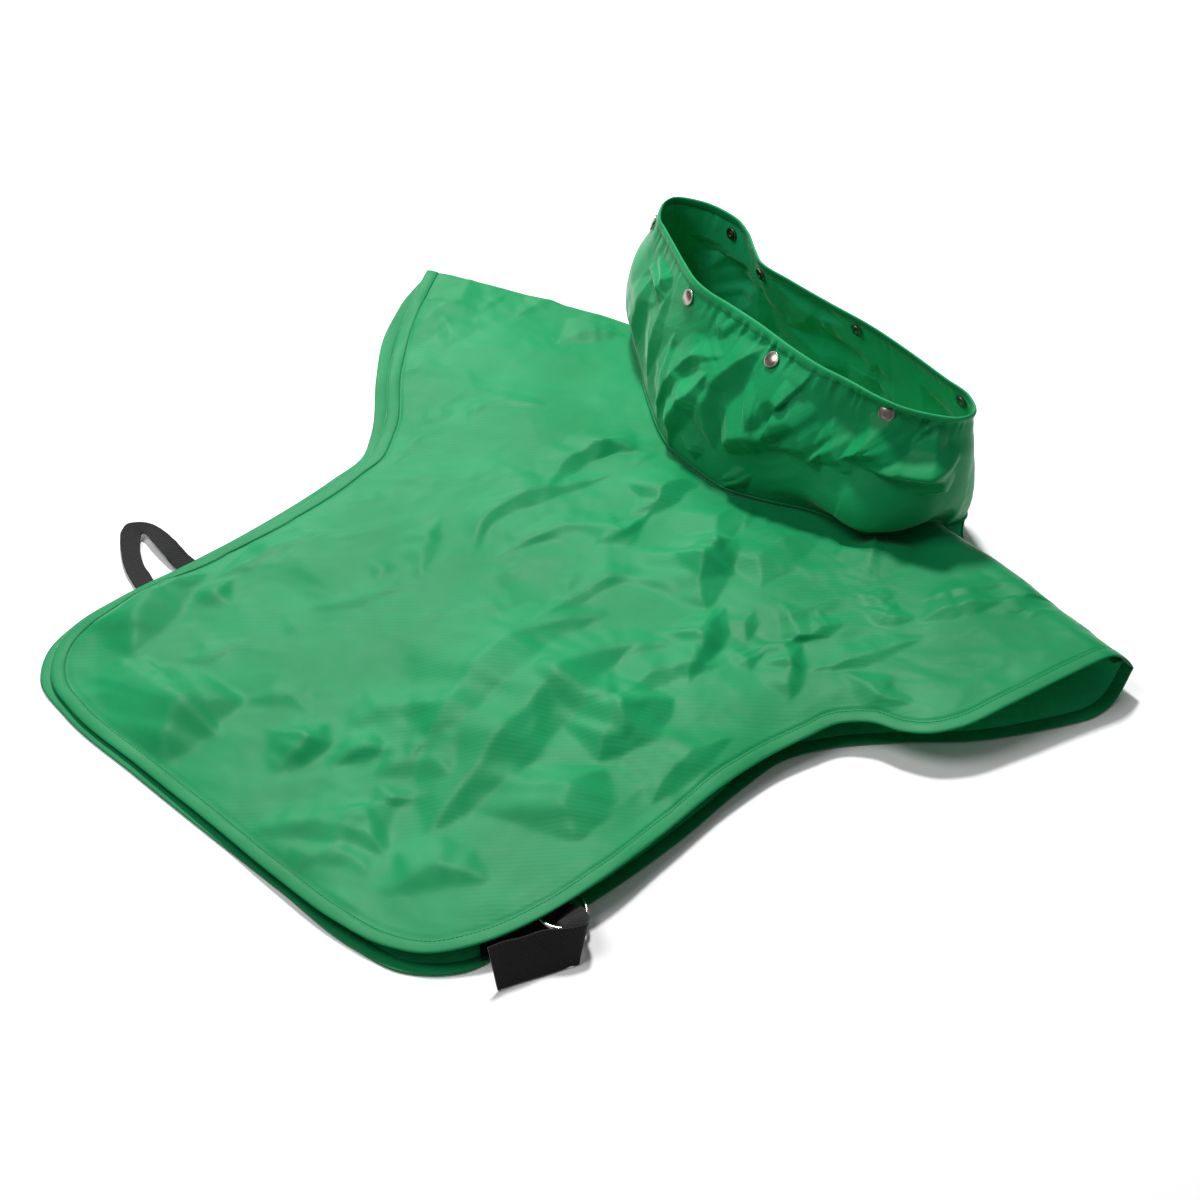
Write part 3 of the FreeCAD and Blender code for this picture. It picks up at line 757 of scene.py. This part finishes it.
def roll_over(grid, radius_left, radius_right, turn):
    """Bends both shoulder edges over a round fold of the given radii; turn is 1 for the upper panel."""
    rolled = grid.copy()
    for column, radius in ((0, radius_left), (-1, radius_right)):
        seam = grid[column]
        run = unit(seam[-1, :2] - seam[0, :2])
        out = np.array([-run[1], run[0]])
        out = out if out[1] > 0 else -out
        away = -((grid[:, :, :2] - seam[:1, None, :2]) @ out)
        away = np.maximum(away, 0.0)
        r = np.maximum(radius, 0.5)[None]
        angle = np.minimum(away / r, math.pi / 2.0)
        drop = r * (1.0 - np.sin(angle))
        pull = np.where(away < r * math.pi / 2.0, away - r * (1.0 - np.cos(angle)), 0.0)
        late = r * (math.pi / 2.0 - 1.0) * (1.0 - smoothstep((away - r * math.pi / 2.0) / 140.0))
        shift = np.where(away < r * math.pi / 2.0, pull, late)
        rolled[:, :, 2] -= turn * drop
        rolled[:, :, :2] += shift[:, :, None] * out * 0.55
    return rolled


def along_surface(grid, normals, rows_at):
    """Points and normals at a fractional row of each column."""
    low = np.clip(np.floor(rows_at).astype(int), 0, grid.shape[1] - 2)
    part = (rows_at - low)[:, None]
    column = np.arange(grid.shape[0])
    return [values[column, low] * (1.0 - part) + values[column, low + 1] * part for values in (grid, normals)]


def front_panel_grid():
    neck = [(x, y, z) for (x, y), z in zip(NECK_SEAM, SEAM_FRONT_Z)]
    grid, inset, reach = ray_grid(neck, FRONT_EDGE, FRONT_RAYS, FRONT_COLUMNS, FRONT_ROWS)
    x = grid[:, :, 0]
    y = grid[:, :, 1]
    heights = np.array(FRONT_HEIGHTS, float)
    z = meet_curves(grid, thin_plate(heights[:, :2], heights[:, 2]))
    from_neck = np.linalg.norm(grid - grid[:, :1], axis=2)
    quiet = smoothstep(inset / 30.0) * (0.25 + 0.75 * smoothstep(from_neck / 25.0))
    folds = np.zeros_like(z)
    for line, width, strength in FRONT_CREASES:
        folds += crease(x, y, line, width, strength)
    lively = 0.35 + 0.65 * smoothstep(0.5 + gradient_noise(x / 150.0, y / 150.0, 5))
    folds += 1.5 * lively * crumple(x, y, 20) + 2.4 * gradient_noise(x / 90.0, y / 70.0, 9)
    z = z + eased(folds) * (0.15 + 0.85 * quiet)
    z -= 0.7 * np.exp(-((inset - BINDING_W - 0.6) / 1.5) ** 2)
    grid[:, :, 2] = z
    radius_left = (grid[0, :, 2] - 1.0) / 2.0
    radius_right = (grid[-1, :, 2] - 1.0) / 2.0
    return roll_over(grid, radius_left, radius_right, 1.0), reach, radius_left, radius_right


def back_panel_grid(radius_left, radius_right):
    neck = [(x, y, 1.0) for x, y in NECK_SEAM[FRONT_NECK_COUNT - 1:] + NECK_SEAM[:1]][::-1]
    grid, inset, reach = ray_grid(neck, BACK_EDGE, BACK_RAYS, BACK_COLUMNS, BACK_ROWS)
    x = grid[:, :, 0]
    y = grid[:, :, 1]
    waves = 0.35 * np.maximum(gradient_noise(x / 80.0, y / 80.0, 31) + 0.3, 0.0) * smoothstep(inset / 25.0)
    grid[:, :, 2] = CLOTH_T + FLOOR_GAP + 0.6 + waves
    grid[:, :, 2] -= 0.3 * np.exp(-((inset - BINDING_W - 0.6) / 1.5) ** 2)
    shares = np.linspace(0.0, 1.0, BACK_ROWS)
    source = np.linspace(0.0, 1.0, FRONT_ROWS)
    left = np.interp(shares, source, radius_left)
    right = np.interp(shares, source, radius_right)
    rolled = roll_over(grid, left, right, -1.0)
    for column in (0, -1):
        seam = np.stack([np.interp(shares, source, front_grid[column, :, k]) for k in range(3)], -1)
        gap = seam - rolled[column]
        away = np.linalg.norm(grid[:, :, :2] - grid[column][None, :, :2], axis=2)
        rolled += gap[None] * (1.0 - smoothstep(away / 60.0))[:, :, None]
    return rolled, reach


BINDING_SECTION = [
    (12.0, 0.1), (11.7, 0.55), (10.9, 0.35), (9.8, 0.7), (6.0, 0.9), (2.5, 0.85), (0.7, 0.6), (-0.3, -0.1),
    (0.7, -0.8), (4.0, -1.0), (9.0, -1.0), (11.8, -0.85), (11.9, -0.4),
]


def binding_loops(grid, normals, reach, scale=1.0, floor=-1.0):
    """Sections of the tape folded over a panel's free edge."""
    loops = []
    rows_ = grid.shape[1]
    for inset, lift in BINDING_SECTION:
        at = (1.0 - max(inset, 0.0) / reach) * (rows_ - 1)
        points, facing = along_surface(grid, normals, at)
        if inset < 0:
            out = unit(points - along_surface(grid, normals, at - 1.0)[0])
            points = points - out * inset
        loops.append(points + facing * lift * scale)
    loops = np.stack(loops, 1)
    loops[:, :, 2] = np.maximum(loops[:, :, 2], floor)
    return loops


front_grid, front_reach, roll_left, roll_right = front_panel_grid()
front_normals = grid_normals(front_grid)
back_grid, back_reach = back_panel_grid(roll_left, roll_right)
back_normals = grid_normals(back_grid)

front = shell("front_panel_cloth", front_grid, front_normals, NYLON, front_grid[:, :, :2])
back = shell("back_panel_cloth", back_grid, back_normals, NYLON, back_grid[:, :, :2], inside="upper")
front_tape = binding_loops(front_grid, front_normals, front_reach)
back_tape = binding_loops(back_grid, back_normals, back_reach, 0.5, FLOOR_GAP)
front_binding = loft("front_binding_tape", front_tape, NYLON_BINDING)
back_binding = loft("back_binding_tape", back_tape, NYLON_BINDING)

# ---------------------------------------------------------------- collar

COLLAR_COLUMNS = 720
COLLAR_ROWS = 110
COLLAR_H = 150.0
SEAM_POINTS = 1400
RIM_Z = 158.0
RIM_TILT = -0.05
CASING_H = 8.0


def collar_matching():
    """Knots shared by the seam's and the rim's points, from their mean spacing."""
    seam = lengths_along(NECK_SEAM + NECK_SEAM[:1])
    knots = (seam + lengths_along(RIM + RIM[:1])) / 2.0
    return knots / knots[-1], knots[-1]


def on_loop(loop_points, knots, u):
    """The point of a closed loop that matches each share u, found through the neck seam's own points."""
    marks = []
    for place in NECK_SEAM:
        marks.append(int(np.argmin(np.linalg.norm(loop_points[:, :2] - np.array(place), axis=1))))
    marks = np.array(marks, float)
    for k in range(1, len(marks)):
        if marks[k] < marks[k - 1]:
            marks[k:] += len(loop_points) if marks[k - 1] - marks[k] > len(loop_points) / 2 else 0
    marks = np.append(marks, marks[0] + len(loop_points))
    at = np.interp(u, knots, marks) % len(loop_points)
    low = np.floor(at).astype(int)
    part = (at - low)[:, None]
    following = (low + 1) % len(loop_points)
    return loop_points[low % len(loop_points)] * (1.0 - part) + loop_points[following] * part


def bump_over(value, centre, spread):
    return np.exp(-((value - centre) / spread) ** 2)


def collar_grid():
    knots, around = collar_matching()
    u = np.arange(COLLAR_COLUMNS) / COLLAR_COLUMNS
    seam_loop = np.concatenate([front_grid[:, 0], back_grid[::-1, 0][1:-1]])
    seam_loop = np.vstack([seam_loop, seam_loop[:1]])
    shares = np.linspace(0.0, 1.0, SEAM_POINTS, endpoint=False)
    seam_loop = read_line(seam_loop, chord_knots(seam_loop), shares)
    seam = on_loop(seam_loop, knots, u)
    rim_xy = spline(RIM, u, knots, True)
    rim = np.column_stack([rim_xy, RIM_Z + RIM_TILT * rim_xy[:, 0]])
    h = np.linspace(0.0, 1.0, COLLAR_ROWS)
    grid = seam[:, None] * (1.0 - h[None, :, None]) + rim[:, None] * h[None, :, None]
    run = np.roll(grid, -1, 0) - np.roll(grid, 1, 0)
    out = unit(np.stack([run[:, :, 1], -run[:, :, 0], np.zeros_like(run[:, :, 0])], -1))
    return grid, out, u, h, around, knots


collar_flat, collar_out, U, H, AROUND, KNOTS = collar_grid()


def collar_shape():
    grid = collar_flat.copy()
    u = U[:, None] * AROUND
    h = H[None] * COLLAR_H
    marks = KNOTS * AROUND
    push = 5.0 * np.sin(math.pi * H[None]) * np.ones_like(u)
    bulge_at = marks[13]
    belly = smoothstep((h - 3.0) / 29.0) * (1.0 - smoothstep((h - 34.0) / 76.0))
    push = push + 25.0 * bump_over(u, bulge_at, 60.0) * belly
    round_left = (u - 15.0 + 0.5 * AROUND) % AROUND - 0.5 * AROUND
    flare = smoothstep(h / 50.0) * (1.0 - smoothstep((h - 75.0) / 60.0))
    push = push + 9.0 * bump_over(round_left, 0.0, 55.0) * flare
    hollow = smoothstep((h - 96.0) / 24.0) * (1.0 - smoothstep((h - 134.0) / 15.0))
    push = push - 11.0 * bump_over(u, bulge_at + 8.0, 52.0) * hollow
    gathered = 0.2 + 0.8 * smoothstep((u - marks[6]) / 40.0) * (1.0 - smoothstep((u - marks[14]) / 40.0))
    level = np.zeros_like(u)
    ripple = np.sin(u * 2.0 * math.pi / 12.0 + 6.0 * gradient_noise(u / 19.0, level, 50))
    ripple = ripple * np.maximum(0.65 + 1.3 * gradient_noise(u / 21.0, level + 3.1, 52), 0.1)
    reach = 27.0 + 16.0 * gradient_noise(u / 13.0, level + 7.3, 51)
    below = COLLAR_H - h
    fade = smoothstep((below - 2.0) / 9.0) * (1.0 - smoothstep((below - 6.0) / np.maximum(reach, 8.0)))
    held = 1.0 - smoothstep((h - 128.0) / 18.0)
    full_u = u * np.ones_like(h)
    full_h = h * np.ones_like(u)
    folds = 1.1 * crumple(full_u, full_h * 0.7, 60) * smoothstep(h / 20.0)
    for line, width, deep in COLLAR_CREASES:
        folds = folds + crease(full_u, full_h, line, width, 1.2 * deep, COLLAR_SHADE, 1.8)
    push = push + 2.1 * gathered * ripple * fade + folds * held
    grid += collar_out * push[:, :, None]
    return grid


COLLAR_SHADE = np.array([1.0, -0.25])
# Creases of the collar: places round it and up it, their width and how steep each is.
COLLAR_CREASES = [
    ([(151, 18), (165, 65), (180, 95), (210, 116)], 9, 1.3),
    ([(187, 3), (191, 41), (202, 77), (205, 99)], 13, 1.5),
    ([(237, 34), (225, 70), (226, 102), (238, 135)], 20, 1.6), ([(264, 77), (277, 98), (293, 76)], 24, 0.9),
    ([(276, 128), (298, 109), (316, 91), (335, 61)], 16, 1.5), ([(248, 39), (265, 58), (293, 67)], 20, 1.6),
    ([(329, 111), (351, 91), (365, 73)], 14, 1.2), ([(358, 128), (381, 117), (398, 88)], 26, 1.2),
    ([(419, 135), (430, 102), (439, 62)], 16, 2.0), ([(379, 140), (402, 143), (421, 138)], 16, 1.2),
    ([(94, 98), (93, 111), (96, 128)], 16, 0.8), ([(189, 122), (200, 139)], 10, 0.9),
    ([(222, 12), (222, 33)], 10, 1.2), ([(154, 6), (149, 63), (140, 96)], 10, 0.7),
    ([(187, 14), (188, 62)], 8, 0.6), ([(263, 30), (278, 17)], 10, 1.2),
    ([(820, 102), (801, 74), (789, 48)], 20, 1.5), ([(718, 135), (689, 131), (638, 125)], 20, 1.0),
    ([(706, 80), (672, 78), (611, 87)], 16, 0.7), ([(850, 107), (831, 76)], 12, 0.8),
    ([(110, 20), (112, 70), (105, 120)], 12, 0.6), ([(60, 15), (66, 60), (62, 110)], 14, 0.6),
    ([(540, 20), (530, 60), (545, 110)], 18, 0.8), ([(600, 15), (612, 55), (600, 100)], 16, 0.7),
    ([(660, 20), (650, 60), (668, 105)], 18, 0.8), ([(740, 20), (732, 60), (745, 110)], 16, 0.8),
]

collar_points = collar_shape()
collar_normals = -grid_normals(collar_points, True)
collar_plan = np.stack(np.meshgrid(U * AROUND, H * COLLAR_H, indexing="ij"), -1)
collar = shell("collar_cloth", collar_points, collar_normals, NYLON_COLLAR_PAINTED_LIGHT, collar_plan, True)


def collar_line(below, out=0.0):
    """Points round the collar, below its rim and out from its cloth, and the way the cloth faces there."""
    at = np.full(COLLAR_COLUMNS, (1.0 - below / COLLAR_H) * (COLLAR_ROWS - 1))
    points, facing = along_surface(collar_points, collar_normals, at)
    return points + facing * out, facing


def collar_ring(name, section, material):
    """A band round the collar; its section goes by distances below the rim and out from the cloth."""
    return loft(name, np.stack([collar_line(below, out)[0] for below, out in section], 1), material, True)


def casing_loops():
    """Sections of the folded casing: up the outside, over the rim and down the inside."""
    loops = []
    for below, out in [(CASING_H, 0.15), (CASING_H - 0.6, 0.65), (5.5, 1.2), (3.0, 1.3), (0.8, 1.0)]:
        loops.append(collar_line(below, out)[0])
    loops.append(collar_points[:, -1] - collar_normals[:, -1] * 0.3 + UP * 0.9)
    for below, out in [(0.8, 0.9), (3.0, 1.1), (5.5, 1.0), (CASING_H - 0.6, 0.65), (CASING_H, 0.15)]:
        loops.append(collar_line(below, -out - CLOTH_T)[0])
    return np.stack(loops, 1)


casing = loft("collar_casing", casing_loops(), NYLON_COLLAR_PAINTED_LIGHT, True)

# ---------------------------------------------------------------- snaps

SNAP_PLACES = [(-174, 72), (-79, 16), (28, 6), (140, 13), (172, 71), (48, 78), (-60, 87), (-122, 104)]
SNAP_BELOW_RIM = 17.0
CAP_PROFILE = [
    (0.0, 2.9), (2.2, 2.8), (4.2, 2.45), (5.6, 1.95), (6.2, 1.75), (6.6, 1.9), (7.1, 1.85), (7.45, 1.3),
    (7.3, 0.6), (6.6, 0.35), (4.0, 0.3), (2.0, 0.3), (2.0, -3.2), (0.0, -3.2),
]
SOCKET_PROFILE = [
    (1.9, 0.6), (1.9, 2.4), (2.3, 2.9), (2.9, 2.7), (3.3, 2.2), (4.2, 2.1), (4.9, 2.6), (5.5, 2.6),
    (6.0, 2.0), (6.0, 1.1), (5.6, 0.6),
]


def snap_seats():
    ring_points, ring_normals = collar_line(SNAP_BELOW_RIM)
    seats = []
    for x, y in SNAP_PLACES:
        near = np.argsort(np.linalg.norm(ring_points[:, :2] - np.array([x, y]), axis=1))[:9]
        seats.append((ring_points[near].mean(0), ring_normals[near].mean(0)))
    return seats


seats = snap_seats()
cap_parts = [turned(CAP_PROFILE, p + 0.4 * n, n, np.cross(n, UP)) for p, n in seats]
caps = several("snap_cap_set", cap_parts, SNAP_METAL)
socket_parts = [turned(SOCKET_PROFILE, p - n * CLOTH_T, -n, np.cross(UP, n), ring=True) for p, n in seats]
sockets = several("snap_socket_set", socket_parts, SOCKET_METAL)

# ---------------------------------------------------------------- straps, tab and ring

TACK_W = 17.0
HALF_SECTION = [(-1.0, 0.0), (-0.97, 0.75), (-0.90, 1.0), (-0.80, 0.8), (-0.35, 0.85), (0.35, 0.85),
                (0.80, 0.8), (0.90, 1.0), (0.97, 0.75)]
BAND_SECTION = HALF_SECTION + [(-across, -up) for across, up in HALF_SECTION]


def band_frame(edges, count):
    """Middle line, half width and face direction of a band between two edge lines."""
    edges = np.asarray(edges, float)
    knots = chord_knots(edges.mean(1))
    t = np.linspace(0.0, 1.0, count)
    one = spline(edges[:, 0], t, knots)
    other = spline(edges[:, 1], t, knots)
    middle = (one + other) / 2.0
    half = (other - one) / 2.0
    along = np.gradient(middle, axis=0)
    return middle, half, unit(np.cross(along, half))


def band(name, edges, material, thickness=1.5, count=90, lift=0.0, narrow=1.0, span=(0.0, 1.0), fuzz=0.0):
    """A flat strap with a raised selvedge, laid between two edge lines given as pairs of points."""
    middle, half, facing = band_frame(edges, count)
    low, high = (int(share * (count - 1)) for share in span)
    middle, half, facing = middle[low:high + 1], half[low:high + 1], facing[low:high + 1]
    loops = []
    for across, up in BAND_SECTION:
        loops.append(middle + half * across * narrow + facing * (lift + up * thickness / 2.0))
    loops = np.stack(loops, 1)
    if fuzz:
        x, y, z = loops.transpose(2, 0, 1)
        loops += fuzz * gradient_noise(x / 6.0, (y + z) / 6.0, 71)[:, :, None]
    return loft(name, loops, material)


def tack(place, across, along, up):
    """A bar of dense zigzag thread across a strap."""
    across, along, up = (unit(np.array(v)) for v in (across, along, up))
    found = []
    count = int(TACK_W / 0.75)
    for k in range(count):
        side = (k + 0.5) / count * TACK_W - TACK_W / 2.0
        lean = 0.3 if k % 2 else -0.3
        start = place + across * (side - lean) - along * 1.1
        end = place + across * (side + lean) + along * 1.1
        found.append(bead(start, end, 0.36, up))
    return found


LEFT_STRAP = [
    ((-226, -419, 3.4), (-226, -437, 3.2)), ((-243, -419, 3.6), (-243, -437, 3.4)),
    ((-262, -419, 5.5), (-262, -437, 4.6)), ((-284, -416.5, 8.2), (-275, -435, 7.0)),
    ((-302, -416, 8.8), (-286, -433, 7.6)), ((-315, -418.5, 8.6), (-297, -431, 7.4)),
    ((-324, -424.5, 8.0), (-305, -429, 7.0)), ((-329, -432, 7.2), (-310, -429, 6.2)),
    ((-326, -440, 6.4), (-310, -431, 5.6)), ((-318, -448, 5.4), (-305, -436, 4.8)),
    ((-307, -456, 4.4), (-297, -443, 4.0)), ((-296, -463, 3.7), (-287, -449, 3.4)),
    ((-284, -469, 3.3), (-279, -453, 3.0)), ((-270, -474, 3.0), (-268, -456, 2.9)),
    ((-252, -479, 2.8), (-252, -461, 2.8)), ((-240, -480, 2.8), (-240, -462, 2.8)),
]
TAIL = [
    ((262, -503, 9.7), (254, -480, 9.9)), ((267, -501, 10.2), (265, -478, 11.2)),
    ((272, -503, 17.0), (275, -481, 19.0)), ((279, -505.5, 19.5), (283, -484, 21.8)),
    ((288, -508, 15.5), (288, -487, 24.0)), ((297, -509.5, 6.0), (292, -491, 26.0)),
    ((300.5, -510.5, 1.2), (294, -495, 27.0)), ((298.5, -517, 0.5), (290, -506, 28.2)),
    ((292.5, -533, 0.4), (277, -523, 28.6)), ((286, -548, 0.4), (271, -540, 29.6)),
    ((281, -560, 0.4), (265.5, -553, 31.2)), ((277.5, -571, 0.4), (262.5, -566, 32.4)),
]
BASE = [
    ((266, -502, 10.0), (259, -479, 10.4)), ((264, -516, 7.6), (250, -494, 7.6)),
    ((259, -533, 5.4), (242, -512, 5.2)), ((254, -549, 4.2), (233, -530, 4.0)),
    ((249, -561, 3.9), (227, -542, 3.9)),
]
RING_AT = np.array([254.5, -492.0, 16.0])
TAB_W = 24.0
TAPE_LIFT = 1.35                  # of the hook and loop tapes off their webbing's middle
TAB_TOP = [(34.0, 0.85), (24.0, 0.85), (15.0, 0.9), (9.0, 1.3), (4.5, 2.35), (0.0, 2.75), (-1.95, 1.95)]
TAB_PATH = TAB_TOP + [(-2.75, 0.0)] + [(reach, -lift) for reach, lift in TAB_TOP[::-1]]


def tab_edges():
    tilt = math.radians(6.0)
    inward = np.array([-math.cos(tilt), 0.0, math.sin(tilt)])
    up = np.array([math.sin(tilt), 0.0, math.cos(tilt)])
    side = np.array([0.0, TAB_W / 2.0, 0.0])
    places = [RING_AT + inward * reach + up * lift for reach, lift in TAB_PATH]
    return [(place - side, place + side) for place in places]


left_strap = band("left_strap_band", LEFT_STRAP, WEBBING, 1.4, 150, fuzz=0.12)
tail = band("right_strap_tail_band", TAIL, WEBBING, 1.5, 110, fuzz=0.12)
base = band("right_strap_base_band", BASE, WEBBING, 1.5, 60)
hook = band("hook_tape_strip", TAIL, HOOK, 1.1, 110, lift=TAPE_LIFT, narrow=0.86, span=(0.52, 0.94))
loop_strip = band("loop_tape_strip", BASE, LOOP, 1.1, 60, lift=-TAPE_LIFT, narrow=0.86, span=(0.35, 0.9))
tab = band("ring_tab_band", tab_edges(), WEBBING, 1.5, 120)

TACKS = [tack(np.array([238.0, -549.0, 5.1]), (0.77, 0.64, 0.0), (-0.64, 0.77, 0.0), (0.0, 0.0, 1.0)),
         tack(np.array([226.5, -492.0, 17.2]), (0.0, 1.0, 0.0), (1.0, 0.0, -0.1), (0.0, 0.0, -1.0)),
         tack(np.array([-234.0, -428.0, 4.4]), (0.0, 1.0, 0.0), (1.0, 0.0, 0.0), (0.0, 0.0, 1.0)),
         tack(np.array([-246.0, -470.5, 3.8]), (0.0, 1.0, 0.0), (1.0, 0.0, 0.0), (0.0, 0.0, 1.0))]
TACK_BODIES = ["root", "front", "front", "root"]
tacks = []
for number, one_tack in enumerate(TACKS):
    tacks.append(several("bar_tack_%d" % number, one_tack, THREAD_BLACK))

# ---------------------------------------------------------------- seams and stitching

def seam_roll():
    """The welt where the collar is sewn to the panels: a small rolled seam allowance outside."""
    foot, facing = collar_line(COLLAR_H * (1.0 - 1.2 / (COLLAR_ROWS - 1)))
    loops = []
    for out, lift in [(0.1, 1.8), (0.5, 1.7), (1.0, 1.1), (1.2, 0.3), (1.0, -0.5), (0.5, -0.9), (-0.6, -0.8),
                      (-0.8, 0.8)]:
        loops.append(foot + facing * out + UP * lift)
    return loft("neck_seam_welt", np.stack(loops, 1), NYLON_BINDING, True)


NECK_TAPE_SECTION = [(149.4, -0.8), (149.4, -1.6), (145.5, -2.0), (141.4, -1.6), (141.4, -0.8), (145.5, -1.0)]
ELASTIC_SECTION = [(6.4, 0.3), (6.4, 0.7), (4.2, 0.85), (2.0, 0.8), (2.0, 0.3), (4.2, 0.3)]


def shoulder_allowance(name, column, inward):
    """The seam allowance inside one shoulder: a folded strip that joins the two panels' edges."""
    seam = front_grid[column][4:-8]
    side = front_grid[inward][4:-8] - seam
    side[:, 2] = 0.0
    side = unit(side)
    loops = []
    for reach, lift in ((0.6, 0.5), (5.0, 0.9), (9.5, 0.6), (10.0, 0.0), (9.5, -0.6), (5.0, -0.8),
                        (0.6, -0.5)):
        loops.append(seam + side * reach + UP * lift)
    return loft(name, np.stack(loops, 1), NYLON_BINDING)


def edge_stitches(name, grid, normals, reach, lift):
    at = (1.0 - STITCH_INSET / reach) * (grid.shape[1] - 1)
    points, facing = along_surface(grid, normals, at)
    return several(name, stitch_row(points + facing * lift, facing, 3.4), THREAD_GREEN)


def collar_stitches(name, below, out):
    points, facing = (np.concatenate([part, part[:1]]) for part in collar_line(below, out))
    return several(name, stitch_row(points, facing, 3.2), THREAD_GREEN)


welt = seam_roll()
neck_tape = collar_ring("neck_seam_tape_ring", NECK_TAPE_SECTION, NYLON_BINDING)
elastic = collar_ring("rim_elastic", ELASTIC_SECTION, ELASTIC)
left_allowance = shoulder_allowance("left_shoulder_allowance", 0, 6)
right_allowance = shoulder_allowance("right_shoulder_allowance", -1, -7)
front_stitches = edge_stitches("front_binding_stitches", front_grid, front_normals, front_reach, 0.55)
back_stitches = edge_stitches("back_binding_stitches", back_grid, back_normals, back_reach, 0.35)
casing_stitches = collar_stitches("casing_stitches", CASING_H - 1.0, 0.8)
neck_stitches = collar_stitches("neck_seam_stitches", COLLAR_H - 5.2, 0.25)

# ---------------------------------------------------------------- joins with the frame

for piece in (front, front_binding, front_stitches, collar, welt, neck_tape, neck_stitches):
    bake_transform(piece)
for piece in (back, back_binding, back_stitches, casing, casing_stitches, elastic, caps, sockets,
              left_allowance, right_allowance):
    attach(piece, "root")
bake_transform(left_strap)
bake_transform(base)
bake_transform(loop_strip)
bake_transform(tail)
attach(hook, "tail")
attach(tab, "front")
for one_tack, body in zip(tacks, TACK_BODIES):
    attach(one_tack, body)

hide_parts("front_panel")
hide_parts("back_panel")
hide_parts("front_edge_binding")
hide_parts("back_edge_binding")
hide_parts("collar")
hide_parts("collar_rim_casing")
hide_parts("collar_elastic")
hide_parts("snap_caps")
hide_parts("snap_sockets")
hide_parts("left_shoulder_tape")
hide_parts("right_shoulder_tape")
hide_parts("neck_seam_tape")
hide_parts("left_strap")
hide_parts("right_strap_tail")
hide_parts("right_strap_base")
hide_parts("hook_patch")
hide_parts("loop_patch")
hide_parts("d_ring_tab")
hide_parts("strap_bartacks")

ring_object = bpy.data.objects["d_ring"]
if not ring_object.material_slots:
    ring_object.data.materials.append(RING_METAL)
for material_slot in ring_object.material_slots:
    material_slot.material = RING_METAL


def band_size(edges):
    """Width and length of a strap laid flat, in metres."""
    middle, half, _ = band_frame(edges, 200)
    return float(2.0 * np.linalg.norm(half, axis=1).mean() * MM), float(lengths_along(middle)[-1] * MM)


band_size(LEFT_STRAP)
band_size(TAIL)
band_size(BASE)
band_size(tab_edges())

# ---------------------------------------------------------------- scene

set_world()
add_floor()
add_camera()
add_lamp("key", -128.6, 60.0, 3.2, 0.40, 98.0)
add_lamp("sheen_box", -117.0, 27.0, 3.0, 1.0, 30.0)
add_lamp("overhead", -45.0, 60.0, 3.0, 1.6, 34.0)
